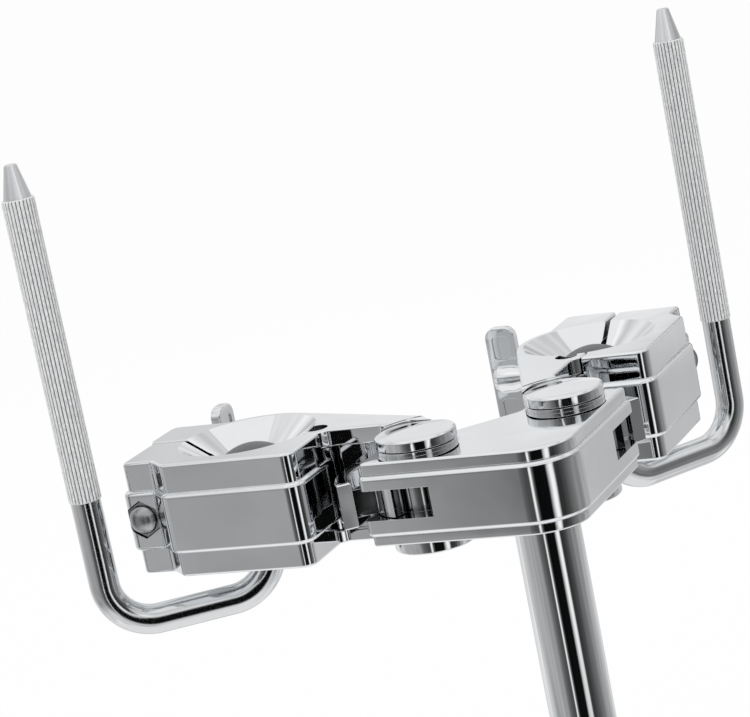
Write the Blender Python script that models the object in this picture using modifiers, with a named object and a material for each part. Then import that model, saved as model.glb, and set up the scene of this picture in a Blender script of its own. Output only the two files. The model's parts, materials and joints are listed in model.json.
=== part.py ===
"""Double drum holder: a down tube carries a V-shaped centre body, and on each wing of
the body an arm swings about a vertical pin. Each arm ends in a hinged clamp, closed by
a wing screw, that grips a ball with a bent rod in it.

Frame: metres, +Z up, front towards -Y, symmetric about the plane x = 0, origin at the
centre of the flat foot of the down tube.
Pieces of the clamps are laid out in a clamp frame (s, n): its origin is the ball centre,
s points to the jaw hinge and n to the flat front of the jaw. Angles are in degrees.
"""
import math

import bpy
import bmesh
from mathutils import Matrix, Vector

MM = 0.001
GAP = 0.3 * MM                     # clearance between neighbouring pieces

# Down tube
TUBE_R = 12.7 * MM
TUBE_WALL = 1.8 * MM
TUBE_BELOW = 250 * MM              # length below the centre body
TUBE_IN_BODY = 28 * MM
FOOT_FLANGE = 3 * MM
FOOT_STEM = 15 * MM

# Heights of the stack, counted from the foot
BODY_Z0 = FOOT_FLANGE + TUBE_BELOW
BODY_H = 33.3 * MM
BODY_Z1 = BODY_Z0 + BODY_H
ARM_Z1 = BODY_Z1 + 7.4 * MM        # top of the arm plates and clamps
CLAMP_H = 46.4 * MM
ARM_Z0 = ARM_Z1 - CLAMP_H
BALL_Z = (ARM_Z0 + ARM_Z1) / 2
TOP_PLATE = 7.0 * MM
LOW_PLATE_Z1 = BODY_Z0 - GAP
EAR_TOP = ARM_Z1 - 1.0 * MM        # disc over the pivot, a little below the plate
EAR_UNDER = ARM_Z1 - 5.2 * MM

# Plan layout, right half
PIVOT = (32.3 * MM, 34.1 * MM)
CLAMP = (78.0 * MM, 99.2 * MM)
S_DIR = 225.0                      # direction of s for the right clamp
N_DIR = 315.0

# Centre body
NOSE_R = 19.6 * MM
LEG_FRONT = 20.9 * MM              # front face of a leg, from the pivot
LEG_END = 18.8 * MM                # end of a leg beyond the pivot
BACK_Y = 43.5 * MM
BOSS_R = 15.7 * MM
PIN_R = 5.0 * MM                   # pivot pin
SLOT_H = 12.0 * MM
SLOT_Z = BODY_Z1 - 16.5 * MM       # middle of the stop slot

# Arm
EAR_R = 16.0 * MM
RING_R = 31.0 * MM
SPLIT = 1.2 * MM                   # half of the gap between the jaws
HINGE_S = 30.7 * MM                # jaw hinge, on the s axis
KNUCKLE_R = 8.1 * MM
JAW_KNUCKLE_R = 7.2 * MM
HINGE_PIN_R = 4.4 * MM
PLATE_FRONT = 4.5 * MM             # front edge of the arm plates
WALL_R = (28.7 * MM, 34.4 * MM)    # curved wall round the end of the leg
TONGUE_R = (13.4 * MM, 20.2 * MM)

# Clamp and ball
FRONT_N = 37.5 * MM
FUNNEL_R = 28.2 * MM
THROAT_R = 14.5 * MM
SEAT_R = 20.0 * MM
BALL_R = SEAT_R - 0.4 * MM
BOLT_S = -38.0 * MM
BLOCK_N = 30.0 * MM                # face of the nut block
EAR_N = 24.0 * MM                  # rear edge of the bolt ear on the plates
WEB_INSET = 0.8 * MM               # the web stands back from the plates
WASHER_T = 1.8 * MM
BOLT_R = 4.0 * MM
NUT_AF = 13.0 * MM
WING_N = (47.0 * MM, 61.0 * MM)    # wing, behind the clamp
WING_REACH = 23.5 * MM
WING_T = 4.6 * MM

# Bent rod
ROD_R = 6.1 * MM
KNURL_R = 6.65 * MM
KNURL_TEETH = 24
ROD_BEND = 19 * MM
ROD_REACH = 68.6 * MM
ROD_DIR = 10.5                     # direction of the horizontal leg, right side
ROD_LOW_Z = ARM_Z1 - 65 * MM
KNURL_Z0 = ARM_Z1 - 10.6 * MM
KNURL_LEN = 123.2 * MM
TIP_LEN = 13.5 * MM
TIP_R = (5.6 * MM, 2.5 * MM)

SIDES = (("left", -1), ("right", 1))


# ---------------------------------------------------------------- scene and looks

def clear_scene():
    for obj in list(bpy.data.objects):
        bpy.data.objects.remove(obj, do_unlink=True)


def new_collection(name):
    coll = bpy.data.collections.new(name)
    bpy.context.scene.collection.children.link(coll)
    return coll


def principled(name, colour, roughness, metallic):
    mat = bpy.data.materials.new(name)
    mat.use_nodes = True
    bsdf = mat.node_tree.nodes["Principled BSDF"]
    bsdf.inputs["Base Color"].default_value = (*colour, 1.0)
    bsdf.inputs["Roughness"].default_value = roughness
    bsdf.inputs["Metallic"].default_value = metallic
    mat.diffuse_color = (*colour, 1.0)
    return mat


clear_scene()
PARTS = new_collection("double_drum_holder")
CUTTERS = new_collection("cutters")
CHROME = principled("chrome_plate", (0.78, 0.79, 0.80), 0.06, 1.0)
ROD_CHROME = principled("rod_chrome", (0.74, 0.75, 0.76), 0.14, 1.0)
STEEL = principled("plain_steel", (0.45, 0.46, 0.47), 0.30, 1.0)
NYLON = principled("ball_nylon", (0.08, 0.08, 0.085), 0.45, 0.0)
BLACK = principled("black_nylon", (0.02, 0.02, 0.02), 0.50, 0.0)


def place(obj, mat=None, cutter=False):
    (CUTTERS if cutter else PARTS).objects.link(obj)
    if cutter:
        obj.hide_render = True
        obj.display_type = "WIRE"
    elif mat:
        obj.data.materials.clear()
        obj.data.materials.append(mat)
    return obj


# ---------------------------------------------------------------- outlines

def trace(arcs, inset=0.0):
    """Points of an outline given as arcs (cx, cy, r, a0, a1), anticlockwise, joined by
    straight lines. A negative r is a hollow arc; an inset moves the outline inwards."""
    points = []
    for cx, cy, r, a0, a1 in arcs:
        radius = r - inset if r > 0 else -r + inset
        step = 11.25 if abs(r) > 12 * MM else 30.0
        count = max(2, math.ceil(abs(a1 - a0) / step))
        for i in range(count + 1):
            a = math.radians(a0 + (a1 - a0) * i / count)
            points.append((cx + radius * math.cos(a), cy + radius * math.sin(a)))
    return points


def circle(cx, cy, r, count=48):
    return [(cx + r * math.cos(2 * math.pi * i / count),
             cy + r * math.sin(2 * math.pi * i / count)) for i in range(count)]


def box_outline(x0, y0, x1, y1):
    return [(x0, y0), (x1, y0), (x1, y1), (x0, y1)]


def clamp_xy(side, s, n):
    """Plan position of a point of the clamp frame."""
    sa, na = math.radians(S_DIR), math.radians(N_DIR)
    x = CLAMP[0] + s * math.cos(sa) + n * math.cos(na)
    y = CLAMP[1] + s * math.sin(sa) + n * math.sin(na)
    return side * x, y


def clamp_axis(side, angle):
    """Unit vector of the clamp frame in the plan: angle 0 is s, 90 is n."""
    a = math.radians(S_DIR + angle)
    return Vector((side * math.cos(a), math.sin(a), 0.0))


def to_clamp(x, y):
    dx, dy = x - CLAMP[0], y - CLAMP[1]
    sa, na = math.radians(S_DIR), math.radians(N_DIR)
    return dx * math.cos(sa) + dy * math.sin(sa), dx * math.cos(na) + dy * math.sin(na)


PIVOT_S, PIVOT_N = to_clamp(*PIVOT)


# ---------------------------------------------------------------- solids

def flat(name, outline, z0, z1, edge=0.0, mat=None, cutter=False, matrix=None):
    """A flat plate from an outline, with its rims rounded by edge; the outline is given
    already inset by edge."""
    curve = bpy.data.curves.new(name, "CURVE")
    curve.dimensions = "2D"
    curve.fill_mode = "BOTH"
    curve.extrude = (z1 - z0) / 2 - edge
    curve.bevel_depth = edge
    curve.bevel_resolution = 1 if edge > 1 * MM else 0
    spline = curve.splines.new("POLY")
    spline.points.add(len(outline) - 1)
    for point, (x, y) in zip(spline.points, outline):
        point.co = (x, y, 0.0, 1.0)
    spline.use_cyclic_u = True
    guide = bpy.data.objects.new(name, curve)
    CUTTERS.objects.link(guide)
    bpy.context.view_layer.update()
    graph = bpy.context.evaluated_depsgraph_get()
    mesh = bpy.data.meshes.new_from_object(guide.evaluated_get(graph))
    bpy.data.objects.remove(guide, do_unlink=True)
    mesh.transform(Matrix.Translation((0, 0, (z0 + z1) / 2)))
    if matrix:
        mesh.transform(matrix)
    close_mesh(mesh)
    mesh.name = name
    return place(bpy.data.objects.new(name, mesh), mat, cutter)


def close_mesh(mesh):
    bm = bmesh.new()
    bm.from_mesh(mesh)
    bmesh.ops.remove_doubles(bm, verts=bm.verts, dist=1e-6)
    bmesh.ops.recalc_face_normals(bm, faces=bm.faces)
    bm.to_mesh(mesh)
    bm.free()
    mesh.shade_smooth()
    mesh.set_sharp_from_angle(angle=math.radians(30))


def turned(name, profile, steps=48, at=(0, 0, 0), axis=(0, 0, 1), mat=None, cutter=False):
    """A turned piece: profile (radius, height) from the top down the outside; a profile
    that ends where it starts makes a ring."""
    mesh = bpy.data.meshes.new(name)
    bm = bmesh.new()
    ring = profile[0] == profile[-1]
    verts = [bm.verts.new((r, 0.0, z)) for r, z in (profile[:-1] if ring else profile)]
    for a, b in zip(verts, verts[1:] + (verts[:1] if ring else [])):
        bm.edges.new((a, b))
    bm.to_mesh(mesh)
    bm.free()
    obj = place(bpy.data.objects.new(name, mesh), mat, cutter)
    screw = obj.modifiers.new("Turn", "SCREW")
    screw.axis = "Z"
    screw.steps = screw.render_steps = steps
    screw.use_merge_vertices = True
    screw.merge_threshold = 5e-5
    screw.use_smooth_shade = True
    obj.location = at
    obj.rotation_mode = "QUATERNION"
    obj.rotation_quaternion = Vector(axis).to_track_quat("Z", "Y")
    return obj


def rod_profile(r, z0, z1, chamfer=0.0):
    if not chamfer:
        return [(0, z1), (r, z1), (r, z0), (0, z0)]
    return [(0, z1), (r - chamfer, z1), (r, z1 - chamfer), (r, z0 + chamfer),
            (r - chamfer, z0), (0, z0)]


def cylinder(name, r, z0, z1, xy=(0, 0), chamfer=0.0, steps=28, **kw):
    return turned(name, rod_profile(r, z0, z1, chamfer), steps, at=(*xy, 0), **kw)


def hexagon(name, across_flats, z0, z1, at, axis, mat=None, cutter=False):
    """A hexagonal bar along an axis, with two flats upright."""
    mesh = bpy.data.meshes.new(name)
    bm = bmesh.new()
    r = across_flats / math.sqrt(3)
    bmesh.ops.create_cone(bm, cap_ends=True, segments=6, radius1=r, radius2=r, depth=z1 - z0,
                          matrix=Matrix.Translation((0, 0, (z0 + z1) / 2)))
    bm.to_mesh(mesh)
    bm.free()
    obj = place(bpy.data.objects.new(name, mesh), mat, cutter)
    obj.location = at
    obj.rotation_mode = "QUATERNION"
    obj.rotation_quaternion = Vector(axis).to_track_quat("Z", "Y")
    return obj


def combine(obj, other, operation):
    mod = obj.modifiers.new(operation.title(), "BOOLEAN")
    mod.operation = operation
    mod.object = other
    return obj


def add(obj, *others):
    for other in others:
        combine(obj, other, "UNION")
    return obj


def cut(obj, *others):
    for other in others:
        combine(obj, other, "DIFFERENCE")
    return obj


def welded(obj):
    """Joins the hair-thin edges that the cuts leave."""
    weld = obj.modifiers.new("Weld", "WELD")
    weld.merge_threshold = 2e-5
    return obj


def hang(parent, *children):
    """Parents pieces to an axis without moving them."""
    bpy.context.view_layer.update()
    for child in children:
        child.parent = parent
        child.matrix_parent_inverse = parent.matrix_world.inverted()


def axis_empty(name, location, parent=None):
    empty = bpy.data.objects.new(name, None)
    empty.location = location
    empty.empty_display_size = 0.02
    PARTS.objects.link(empty)
    if parent:
        hang(parent, empty)
    bpy.context.view_layer.update()
    return empty


# ---------------------------------------------------------------- tube and centre body

def build_tube():
    inner = TUBE_R - TUBE_WALL
    z0, z1 = FOOT_FLANGE, BODY_Z0 + TUBE_IN_BODY
    tube = turned("down_tube", [(inner, z1), (TUBE_R - 0.6 * MM, z1), (TUBE_R, z1 - 0.6 * MM),
                                (TUBE_R, z0 + 0.6 * MM), (TUBE_R - 0.6 * MM, z0), (inner, z0),
                                (inner, z1)], 48, mat=CHROME)
    stem = inner - GAP
    flange = FOOT_FLANGE - GAP
    turned("tube_end_plug", [(0, FOOT_STEM), (stem - 1.2 * MM, FOOT_STEM), (stem, FOOT_STEM - 2 * MM),
                             (stem, flange), (TUBE_R - 0.2 * MM, flange), (TUBE_R - 0.2 * MM, 0.8 * MM),
                             (TUBE_R - 1.0 * MM, 0), (0, 0)], 32, mat=BLACK)
    return tube


def body_arcs():
    """Heart-shaped plan of the centre body: nose round the tube, straight front faces at
    45 degrees, squared leg ends, round lobes behind the pivots and a straight back."""
    px, py = PIVOT
    lobe, corner, fillet = LEG_END, 3 * MM, 5 * MM
    rise = BACK_Y + fillet - py
    fx = px - math.sqrt((lobe + fillet) ** 2 - rise ** 2)
    contact = math.degrees(math.atan2(rise, fx - px))
    c = math.cos(math.radians(45))
    along, across = LEG_END - corner, LEG_FRONT - corner
    cx, cy = px + c * (along + across), py + c * (along - across)
    right = [(cx, cy, corner, -45, 45), (px, py, lobe, 45, contact),
             (fx, BACK_Y + fillet, -fillet, contact - 180, -90)]
    left = [(-x, y, r, 180 - a1, 180 - a0) for x, y, r, a0, a1 in reversed(right)]
    return [(0, 0, NOSE_R, 225, 315)] + right + left


def slot_cutter(side, name):
    """Room for the arm's tongue: a sector round the pivot, open at the front and the end
    of the leg."""
    reach = 42 * MM
    arcs = [(PIVOT_S, PIVOT_N, reach, 64, 176), (PIVOT_S, PIVOT_N, -12.6 * MM, 176, 64)]
    outline = [clamp_xy(side, s, n) for s, n in trace(arcs)]
    return flat(name, outline, SLOT_Z - SLOT_H / 2, SLOT_Z + SLOT_H / 2, cutter=True)


def build_body():
    arcs = body_arcs()
    z1 = BODY_Z1
    body = flat("center_body", trace(arcs, 1.2 * MM), BODY_Z0 + 4.0 * MM, z1 - 5.0 * MM,
                edge=1.2 * MM, mat=CHROME)
    upper = flat("body_upper_band", trace(arcs, 1.5 * MM + 0.7 * MM), z1 - 5.6 * MM, z1,
                 edge=0.7 * MM, cutter=True)
    lower = flat("body_lower_band", trace(arcs, 1.3 * MM + 0.5 * MM), BODY_Z0,
                 BODY_Z0 + 4.6 * MM, edge=0.5 * MM, cutter=True)
    add(body, upper, lower)
    for side_name, side in SIDES:
        xy = (side * PIVOT[0], PIVOT[1])
        boss_z = EAR_UNDER - 0.4 * MM
        add(body, cylinder("body_boss_" + side_name, BOSS_R, z1 - 2 * MM, boss_z, xy,
                           0.3 * MM, cutter=True))
        cut(body,
            cylinder("washer_recess_" + side_name, 11.3 * MM, boss_z - 1.0 * MM,
                     boss_z + 2 * MM, xy, cutter=True),
            cylinder("pivot_bore_" + side_name, PIN_R + GAP, BODY_Z0 - 2 * MM,
                     z1 + 5 * MM, xy, cutter=True, steps=20),
            slot_cutter(side, "stop_slot_" + side_name))
    cut(body, cylinder("tube_bore", TUBE_R + GAP, BODY_Z0 - 2 * MM,
                       BODY_Z0 + TUBE_IN_BODY + GAP, cutter=True, steps=48))
    for level, z in (("upper", BODY_Z0 + 21.5 * MM), ("lower", BODY_Z0 + 9.0 * MM)):
        at = (0, TUBE_R + GAP, z)
        cut(body, turned("screw_bore_" + level, rod_profile(4 * MM + GAP, -3 * MM, 40 * MM), 20,
                         at, (0, 1, 0), cutter=True))
        screw = turned("body_set_screw_" + level,
                       rod_profile(4 * MM, 0, 28.5 * MM, 0.6 * MM), 20, at, (0, 1, 0), mat=STEEL)
        cut(screw, hexagon("screw_socket_" + level, 4 * MM, 24.5 * MM, 32 * MM, at, (0, 1, 0),
                           cutter=True))
        welded(screw)
    return welded(body)


# ---------------------------------------------------------------- pivots

def build_pivot(side_name, side):
    xy = (side * PIVOT[0], PIVOT[1])
    head_z0, head_z1 = ARM_Z0 + 0.6 * MM, ARM_Z0 + 3.0 * MM
    top = EAR_TOP - 1.6 * MM
    pin = turned("pivot_pin_" + side_name,
                 [(0, top), (PIN_R - 0.5 * MM, top), (PIN_R, top - 0.5 * MM), (PIN_R, head_z1),
                  (7.6 * MM, head_z1), (7.6 * MM, head_z0 + 0.5 * MM), (7.1 * MM, head_z0),
                  (0, head_z0)], 24, at=(*xy, 0), mat=STEEL)
    cut(pin, hexagon("pin_socket_" + side_name, 5 * MM, head_z0 - 2 * MM, head_z0 + 4 * MM,
                     (*xy, 0), (0, 0, 1), cutter=True))
    z0 = EAR_UNDER - 1.1 * MM
    z1 = EAR_UNDER - 0.25 * MM
    washer = turned("pivot_washer_" + side_name,
                    [(PIN_R + GAP, z1), (11.0 * MM, z1), (11.0 * MM, z0), (PIN_R + GAP, z0),
                     (PIN_R + GAP, z1)], 28, at=(*xy, 0), mat=BLACK)
    return welded(pin), washer


# ---------------------------------------------------------------- arm

def plate_arcs():
    """Plan of the arm plates in the clamp frame: pivot disc, knuckle of the jaw hinge,
    half ring behind the ball and the ear for the wing screw."""
    ps, pn = PIVOT_S, PIVOT_N
    span = math.hypot(ps, pn)
    tilt = math.degrees(math.atan2(pn, ps))
    tangent = tilt - math.degrees(math.acos((RING_R - EAR_R) / span))
    f = 4 * MM
    fn = PLATE_FRONT + f
    fs = ps - math.sqrt((EAR_R + f) ** 2 - (fn - pn) ** 2)
    disc_end = math.degrees(math.atan2(fn - pn, fs - ps)) % 360
    k = 2 * MM
    kn = PLATE_FRONT + k
    ks = HINGE_S + math.sqrt((KNUCKLE_R + k) ** 2 - kn ** 2)
    knuckle_start = math.degrees(math.atan2(kn, ks - HINGE_S))
    knuckle_end = 180 + math.degrees(math.asin(SPLIT / KNUCKLE_R))
    e = 3 * MM
    en = -EAR_N - e
    es = -math.sqrt((RING_R + e) ** 2 - en ** 2)
    ring_start = math.degrees(math.atan2(en, es)) % 360
    return [
        (ps, pn, EAR_R, tangent, disc_end),
        (fs, fn, -f, disc_end - 180, -90),
        (ks, kn, -k, -90, knuckle_start - 180),
        (HINGE_S, 0, KNUCKLE_R, knuckle_start, knuckle_end),
        (BOLT_S - 4.5 * MM, -SPLIT - 3 * MM, 3 * MM, 90, 180),
        (BOLT_S - 4.5 * MM, -EAR_N + 3 * MM, 3 * MM, 180, 270),
        (es, en, -e, 90, ring_start - 180),
        (0, 0, RING_R, ring_start, 360 + tangent),
    ]


def web_arcs():
    """Plan of the arm between its two plates: ring, bolt ear and the web up to the leg."""
    back = plate_arcs()
    ring_start, tangent = back[-1][3], back[-1][4] - 360
    ps, pn = PIVOT_S, PIVOT_N
    r = WALL_R[0]
    top_n, inset = PLATE_FRONT - 1.2 * MM, WEB_INSET
    corner = 1.4 * MM
    front = 180 + math.degrees(math.asin((pn - top_n + corner) / (r + corner)))
    fs = ps + (r + corner) * math.cos(math.radians(front))
    ring = RING_R - inset
    # the back line runs on the common tangent of ring and disc
    ta = math.radians(tangent)
    offset = ring - corner
    u = (math.cos(ta), math.sin(ta))
    d = (-u[1], u[0])
    along = ps * d[0] + pn * d[1]
    rel = offset - (ps * u[0] + pn * u[1])
    along -= math.sqrt((r + corner) ** 2 - rel ** 2)
    bs, bn = offset * u[0] + along * d[0], offset * u[1] + along * d[1]
    back_a = math.degrees(math.atan2(bn - pn, bs - ps)) % 360
    e = 3 * MM
    en = -EAR_N + inset - e
    es = -math.sqrt((ring + e) ** 2 - en ** 2)
    ring_a = math.degrees(math.atan2(en, es)) % 360
    hs = HINGE_S + KNUCKLE_R
    return [
        (bs, bn, corner, tangent, back_a - 180),
        (ps, pn, -r, back_a, front),
        (fs, top_n - corner, corner, front - 180, 90),
        (hs + corner + 0.8 * MM, top_n - corner, corner, 90, 180),
        (hs + 0.8 * MM - corner, -SPLIT + corner, -corner, 0, -90),
        (BOLT_S - 3.7 * MM, -SPLIT - 3 * MM, 3 * MM, 90, 180),
        (BOLT_S - 3.7 * MM, -EAR_N + inset + 3 * MM, 3 * MM, 180, 270),
        (es, en, -e, 90, ring_a - 180),
        (0, 0, ring, ring_a, 360 + tangent),
    ]


def sector(side, name, radii, angles, z0, z1, edge=0.0, cutter=True):
    """An arched block round the pivot; angles in the clamp frame."""
    r0, r1 = radii
    arcs = [(PIVOT_S, PIVOT_N, r1, *angles), (PIVOT_S, PIVOT_N, -r0, angles[1], angles[0])]
    outline = [clamp_xy(side, s, n) for s, n in trace(arcs, edge)]
    return flat(name, outline, z0, z1, edge=edge, cutter=cutter)


def cavity(side_name, side, owner):
    """Socket of the ball with a funnel above and below."""
    up = CLAMP_H / 2
    mouth = math.sqrt(SEAT_R ** 2 - THROAT_R ** 2)
    slope = (FUNNEL_R - THROAT_R) / (up - mouth)
    profile = [(0, up + 2 * MM), (FUNNEL_R + 2 * MM * slope, up + 2 * MM)]
    first = math.degrees(math.asin(mouth / SEAT_R))
    count = 6
    for i in range(count + 1):
        a = math.radians(first - 2 * first * i / count)
        profile.append((SEAT_R * math.cos(a), SEAT_R * math.sin(a)))
    profile += [(FUNNEL_R + 2 * MM * slope, -up - 2 * MM), (0, -up - 2 * MM)]
    x, y = clamp_xy(side, 0, 0)
    return turned("socket_" + owner + "_" + side_name, profile, 36, (x, y, BALL_Z), cutter=True)


def mapped(side, arcs, inset):
    return [clamp_xy(side, s, n) for s, n in trace(arcs, inset)]


def build_arm(side_name, side):
    tag = "_" + side_name
    pivot = (side * PIVOT[0], PIVOT[1])
    hinge = clamp_xy(side, HINGE_S, 0)
    edge = 0.6 * MM
    arm = flat("arm" + tag, mapped(side, plate_arcs(), edge), ARM_Z1 - TOP_PLATE, ARM_Z1,
               edge=edge, mat=CHROME)
    add(arm,
        flat("arm_web" + tag, mapped(side, web_arcs(), 0), LOW_PLATE_Z1 - 0.7 * MM,
             ARM_Z1 - TOP_PLATE + 0.7 * MM, cutter=True),
        flat("arm_low_plate" + tag, mapped(side, plate_arcs(), edge), ARM_Z0, LOW_PLATE_Z1,
             edge=edge, cutter=True),
        sector(side, "arm_wall" + tag, WALL_R, (144, 205), SLOT_Z - 9 * MM, SLOT_Z + 9 * MM,
               edge=0.8 * MM),
        sector(side, "arm_neck" + tag, (TONGUE_R[1] - 3 * MM, WALL_R[0] + 3 * MM), (145.5, 156),
               SLOT_Z - SLOT_H / 2 + 0.5 * MM, SLOT_Z + SLOT_H / 2 - 0.5 * MM),
        sector(side, "arm_tongue" + tag, TONGUE_R, (108, 158),
               SLOT_Z - SLOT_H / 2 + 0.4 * MM, SLOT_Z + SLOT_H / 2 - 0.4 * MM))
    scoop = (PIVOT_S + 9 * MM, PIVOT_N + 6 * MM)
    bolt = Vector((*clamp_xy(side, BOLT_S, 0), BALL_Z))
    n_axis = clamp_axis(side, 90)
    cut(arm,
        cavity(side_name, side, "arm"),
        cylinder("ear_scoop" + tag, 27 * MM, EAR_TOP, EAR_TOP + 4 * MM,
                 clamp_xy(side, *scoop), cutter=True, steps=48),
        cylinder("ear_relief" + tag, EAR_R + 0.5 * MM, EAR_UNDER - 4 * MM, EAR_UNDER, pivot,
                 cutter=True),
        cylinder("knuckle_room" + tag, JAW_KNUCKLE_R + 0.5 * MM, LOW_PLATE_Z1 - 0.25 * MM,
                 ARM_Z1 - TOP_PLATE + 0.25 * MM, hinge, cutter=True),
        cylinder("hinge_bore_arm" + tag, HINGE_PIN_R + GAP, ARM_Z0 - 2 * MM, ARM_Z1 + 2 * MM,
                 hinge, cutter=True, steps=20),
        cylinder("pivot_bore_arm" + tag, PIN_R + GAP, ARM_Z0 - 2 * MM, EAR_TOP - 1.2 * MM,
                 pivot, cutter=True, steps=20),
        cylinder("pivot_head_room" + tag, 7.9 * MM, ARM_Z0 - 2 * MM, ARM_Z0 + 3.3 * MM,
                 pivot, cutter=True),
        turned("bolt_bore_arm" + tag, rod_profile(BOLT_R + 0.5 * MM, 0, EAR_N + 4 * MM), 20,
               bolt, -n_axis, cutter=True))
    return welded(arm)


# ---------------------------------------------------------------- jaw

def jaw_arcs():
    """D-shaped plan of the front jaw, carried past the split; the split is cut later."""
    end = BOLT_S - 7.5 * MM
    side = HINGE_S + JAW_KNUCKLE_R - 1.0 * MM
    block = BLOCK_N
    c = math.cos(math.radians(45))
    knee_s, knee_r, hollow_r = -21 * MM, 5 * MM, 2 * MM
    line = (FRONT_N - knee_r - knee_s) + knee_r * 2 * c
    hollow_s = block + hollow_r - (line + hollow_r * 2 * c)
    return [
        (side - 4 * MM, -8 * MM, 4 * MM, -90, 0),
        (side - 7 * MM, FRONT_N - 7 * MM, 7 * MM, 0, 90),
        (knee_s, FRONT_N - knee_r, knee_r, 90, 135),
        (hollow_s, block + hollow_r, -hollow_r, -45, -90),
        (end + 4 * MM, block - 4 * MM, 4 * MM, 90, 180),
        (end + 4 * MM, -8 * MM, 4 * MM, 180, 270),
    ]


def build_jaw(side_name, side):
    tag = "_" + side_name
    hinge = clamp_xy(side, HINGE_S, 0)
    arcs = jaw_arcs()
    z1 = ARM_Z1
    jaw = flat("front_jaw" + tag, mapped(side, arcs, 1.6 * MM), z1 - 36.6 * MM, z1 - 11.6 * MM,
               edge=1.6 * MM, mat=CHROME)
    add(jaw,
        flat("jaw_upper_band" + tag, mapped(side, arcs, 2.6 * MM), z1 - 13.0 * MM, z1,
             edge=0.6 * MM, cutter=True),
        flat("jaw_lower_band" + tag, mapped(side, arcs, 2.6 * MM), ARM_Z0, z1 - 35.2 * MM,
             edge=0.6 * MM, cutter=True))
    split = box_outline(-60 * MM, -30 * MM, 60 * MM, SPLIT)
    cut(jaw, flat("jaw_split" + tag, [clamp_xy(side, s, n) for s, n in split], ARM_Z0 - 5 * MM,
                  z1 + 5 * MM, cutter=True))
    barrel_z0, barrel_z1 = LOW_PLATE_Z1 + 0.05 * MM, z1 - TOP_PLATE - 0.05 * MM
    add(jaw, cylinder("jaw_knuckle" + tag, JAW_KNUCKLE_R, barrel_z0, barrel_z1, hinge,
                      0.2 * MM, cutter=True))
    bolt = Vector((*clamp_xy(side, BOLT_S, 0), BALL_Z))
    n_axis = clamp_axis(side, 90)
    cut(jaw,
        cylinder("knuckle_room_top" + tag, KNUCKLE_R + 0.7 * MM, z1 - TOP_PLATE - 0.3 * MM,
                 z1 + 2 * MM, hinge, cutter=True),
        cylinder("knuckle_room_low" + tag, KNUCKLE_R + 0.7 * MM, ARM_Z0 - 2 * MM,
                 LOW_PLATE_Z1 + 0.3 * MM, hinge, cutter=True),
        cavity(side_name, side, "jaw"),
        cylinder("hinge_bore_jaw" + tag, HINGE_PIN_R + GAP, ARM_Z0 - 2 * MM, z1 + 2 * MM,
                 hinge, cutter=True, steps=20),
        turned("bolt_bore_jaw" + tag, rod_profile(BOLT_R + 1.0 * MM, -5 * MM, 26 * MM), 20,
               bolt, n_axis, cutter=True),
        hexagon("nut_pocket" + tag, NUT_AF + 0.8 * MM, 23.5 * MM, 45 * MM, bolt, n_axis,
                cutter=True))
    return welded(jaw)


def build_nut(side_name, side):
    """Domed hexagon nut, sunk in the end block of the jaw."""
    bolt = Vector((*clamp_xy(side, BOLT_S, 0), BALL_Z))
    n_axis = clamp_axis(side, 90)
    nut = hexagon("jaw_nut_" + side_name, NUT_AF, 23.8 * MM, 29.0 * MM, bolt, n_axis, mat=CHROME)
    dome = [(0, 33.4 * MM)]
    for i in range(1, 5):
        a = math.radians(90 - 22.5 * i)
        dome.append((6.1 * MM * math.cos(a), 28.6 * MM + 4.8 * MM * math.sin(a)))
    dome += [(6.1 * MM, 27 * MM), (0, 27 * MM)]
    add(nut, turned("nut_dome_" + side_name, dome, 24, bolt, n_axis, cutter=True))
    cut(nut, turned("nut_bore_" + side_name, rod_profile(BOLT_R + 0.7 * MM, 20 * MM, 31 * MM), 16,
                    bolt, n_axis, cutter=True))
    return welded(nut)


def build_hinge_pin(side_name, side):
    return cylinder("hinge_pin_" + side_name, HINGE_PIN_R, ARM_Z0 + 1.5 * MM, ARM_Z1 - 4 * MM,
                    clamp_xy(side, HINGE_S, 0), 0.5 * MM, steps=24, mat=STEEL)


# ---------------------------------------------------------------- wing screw

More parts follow.
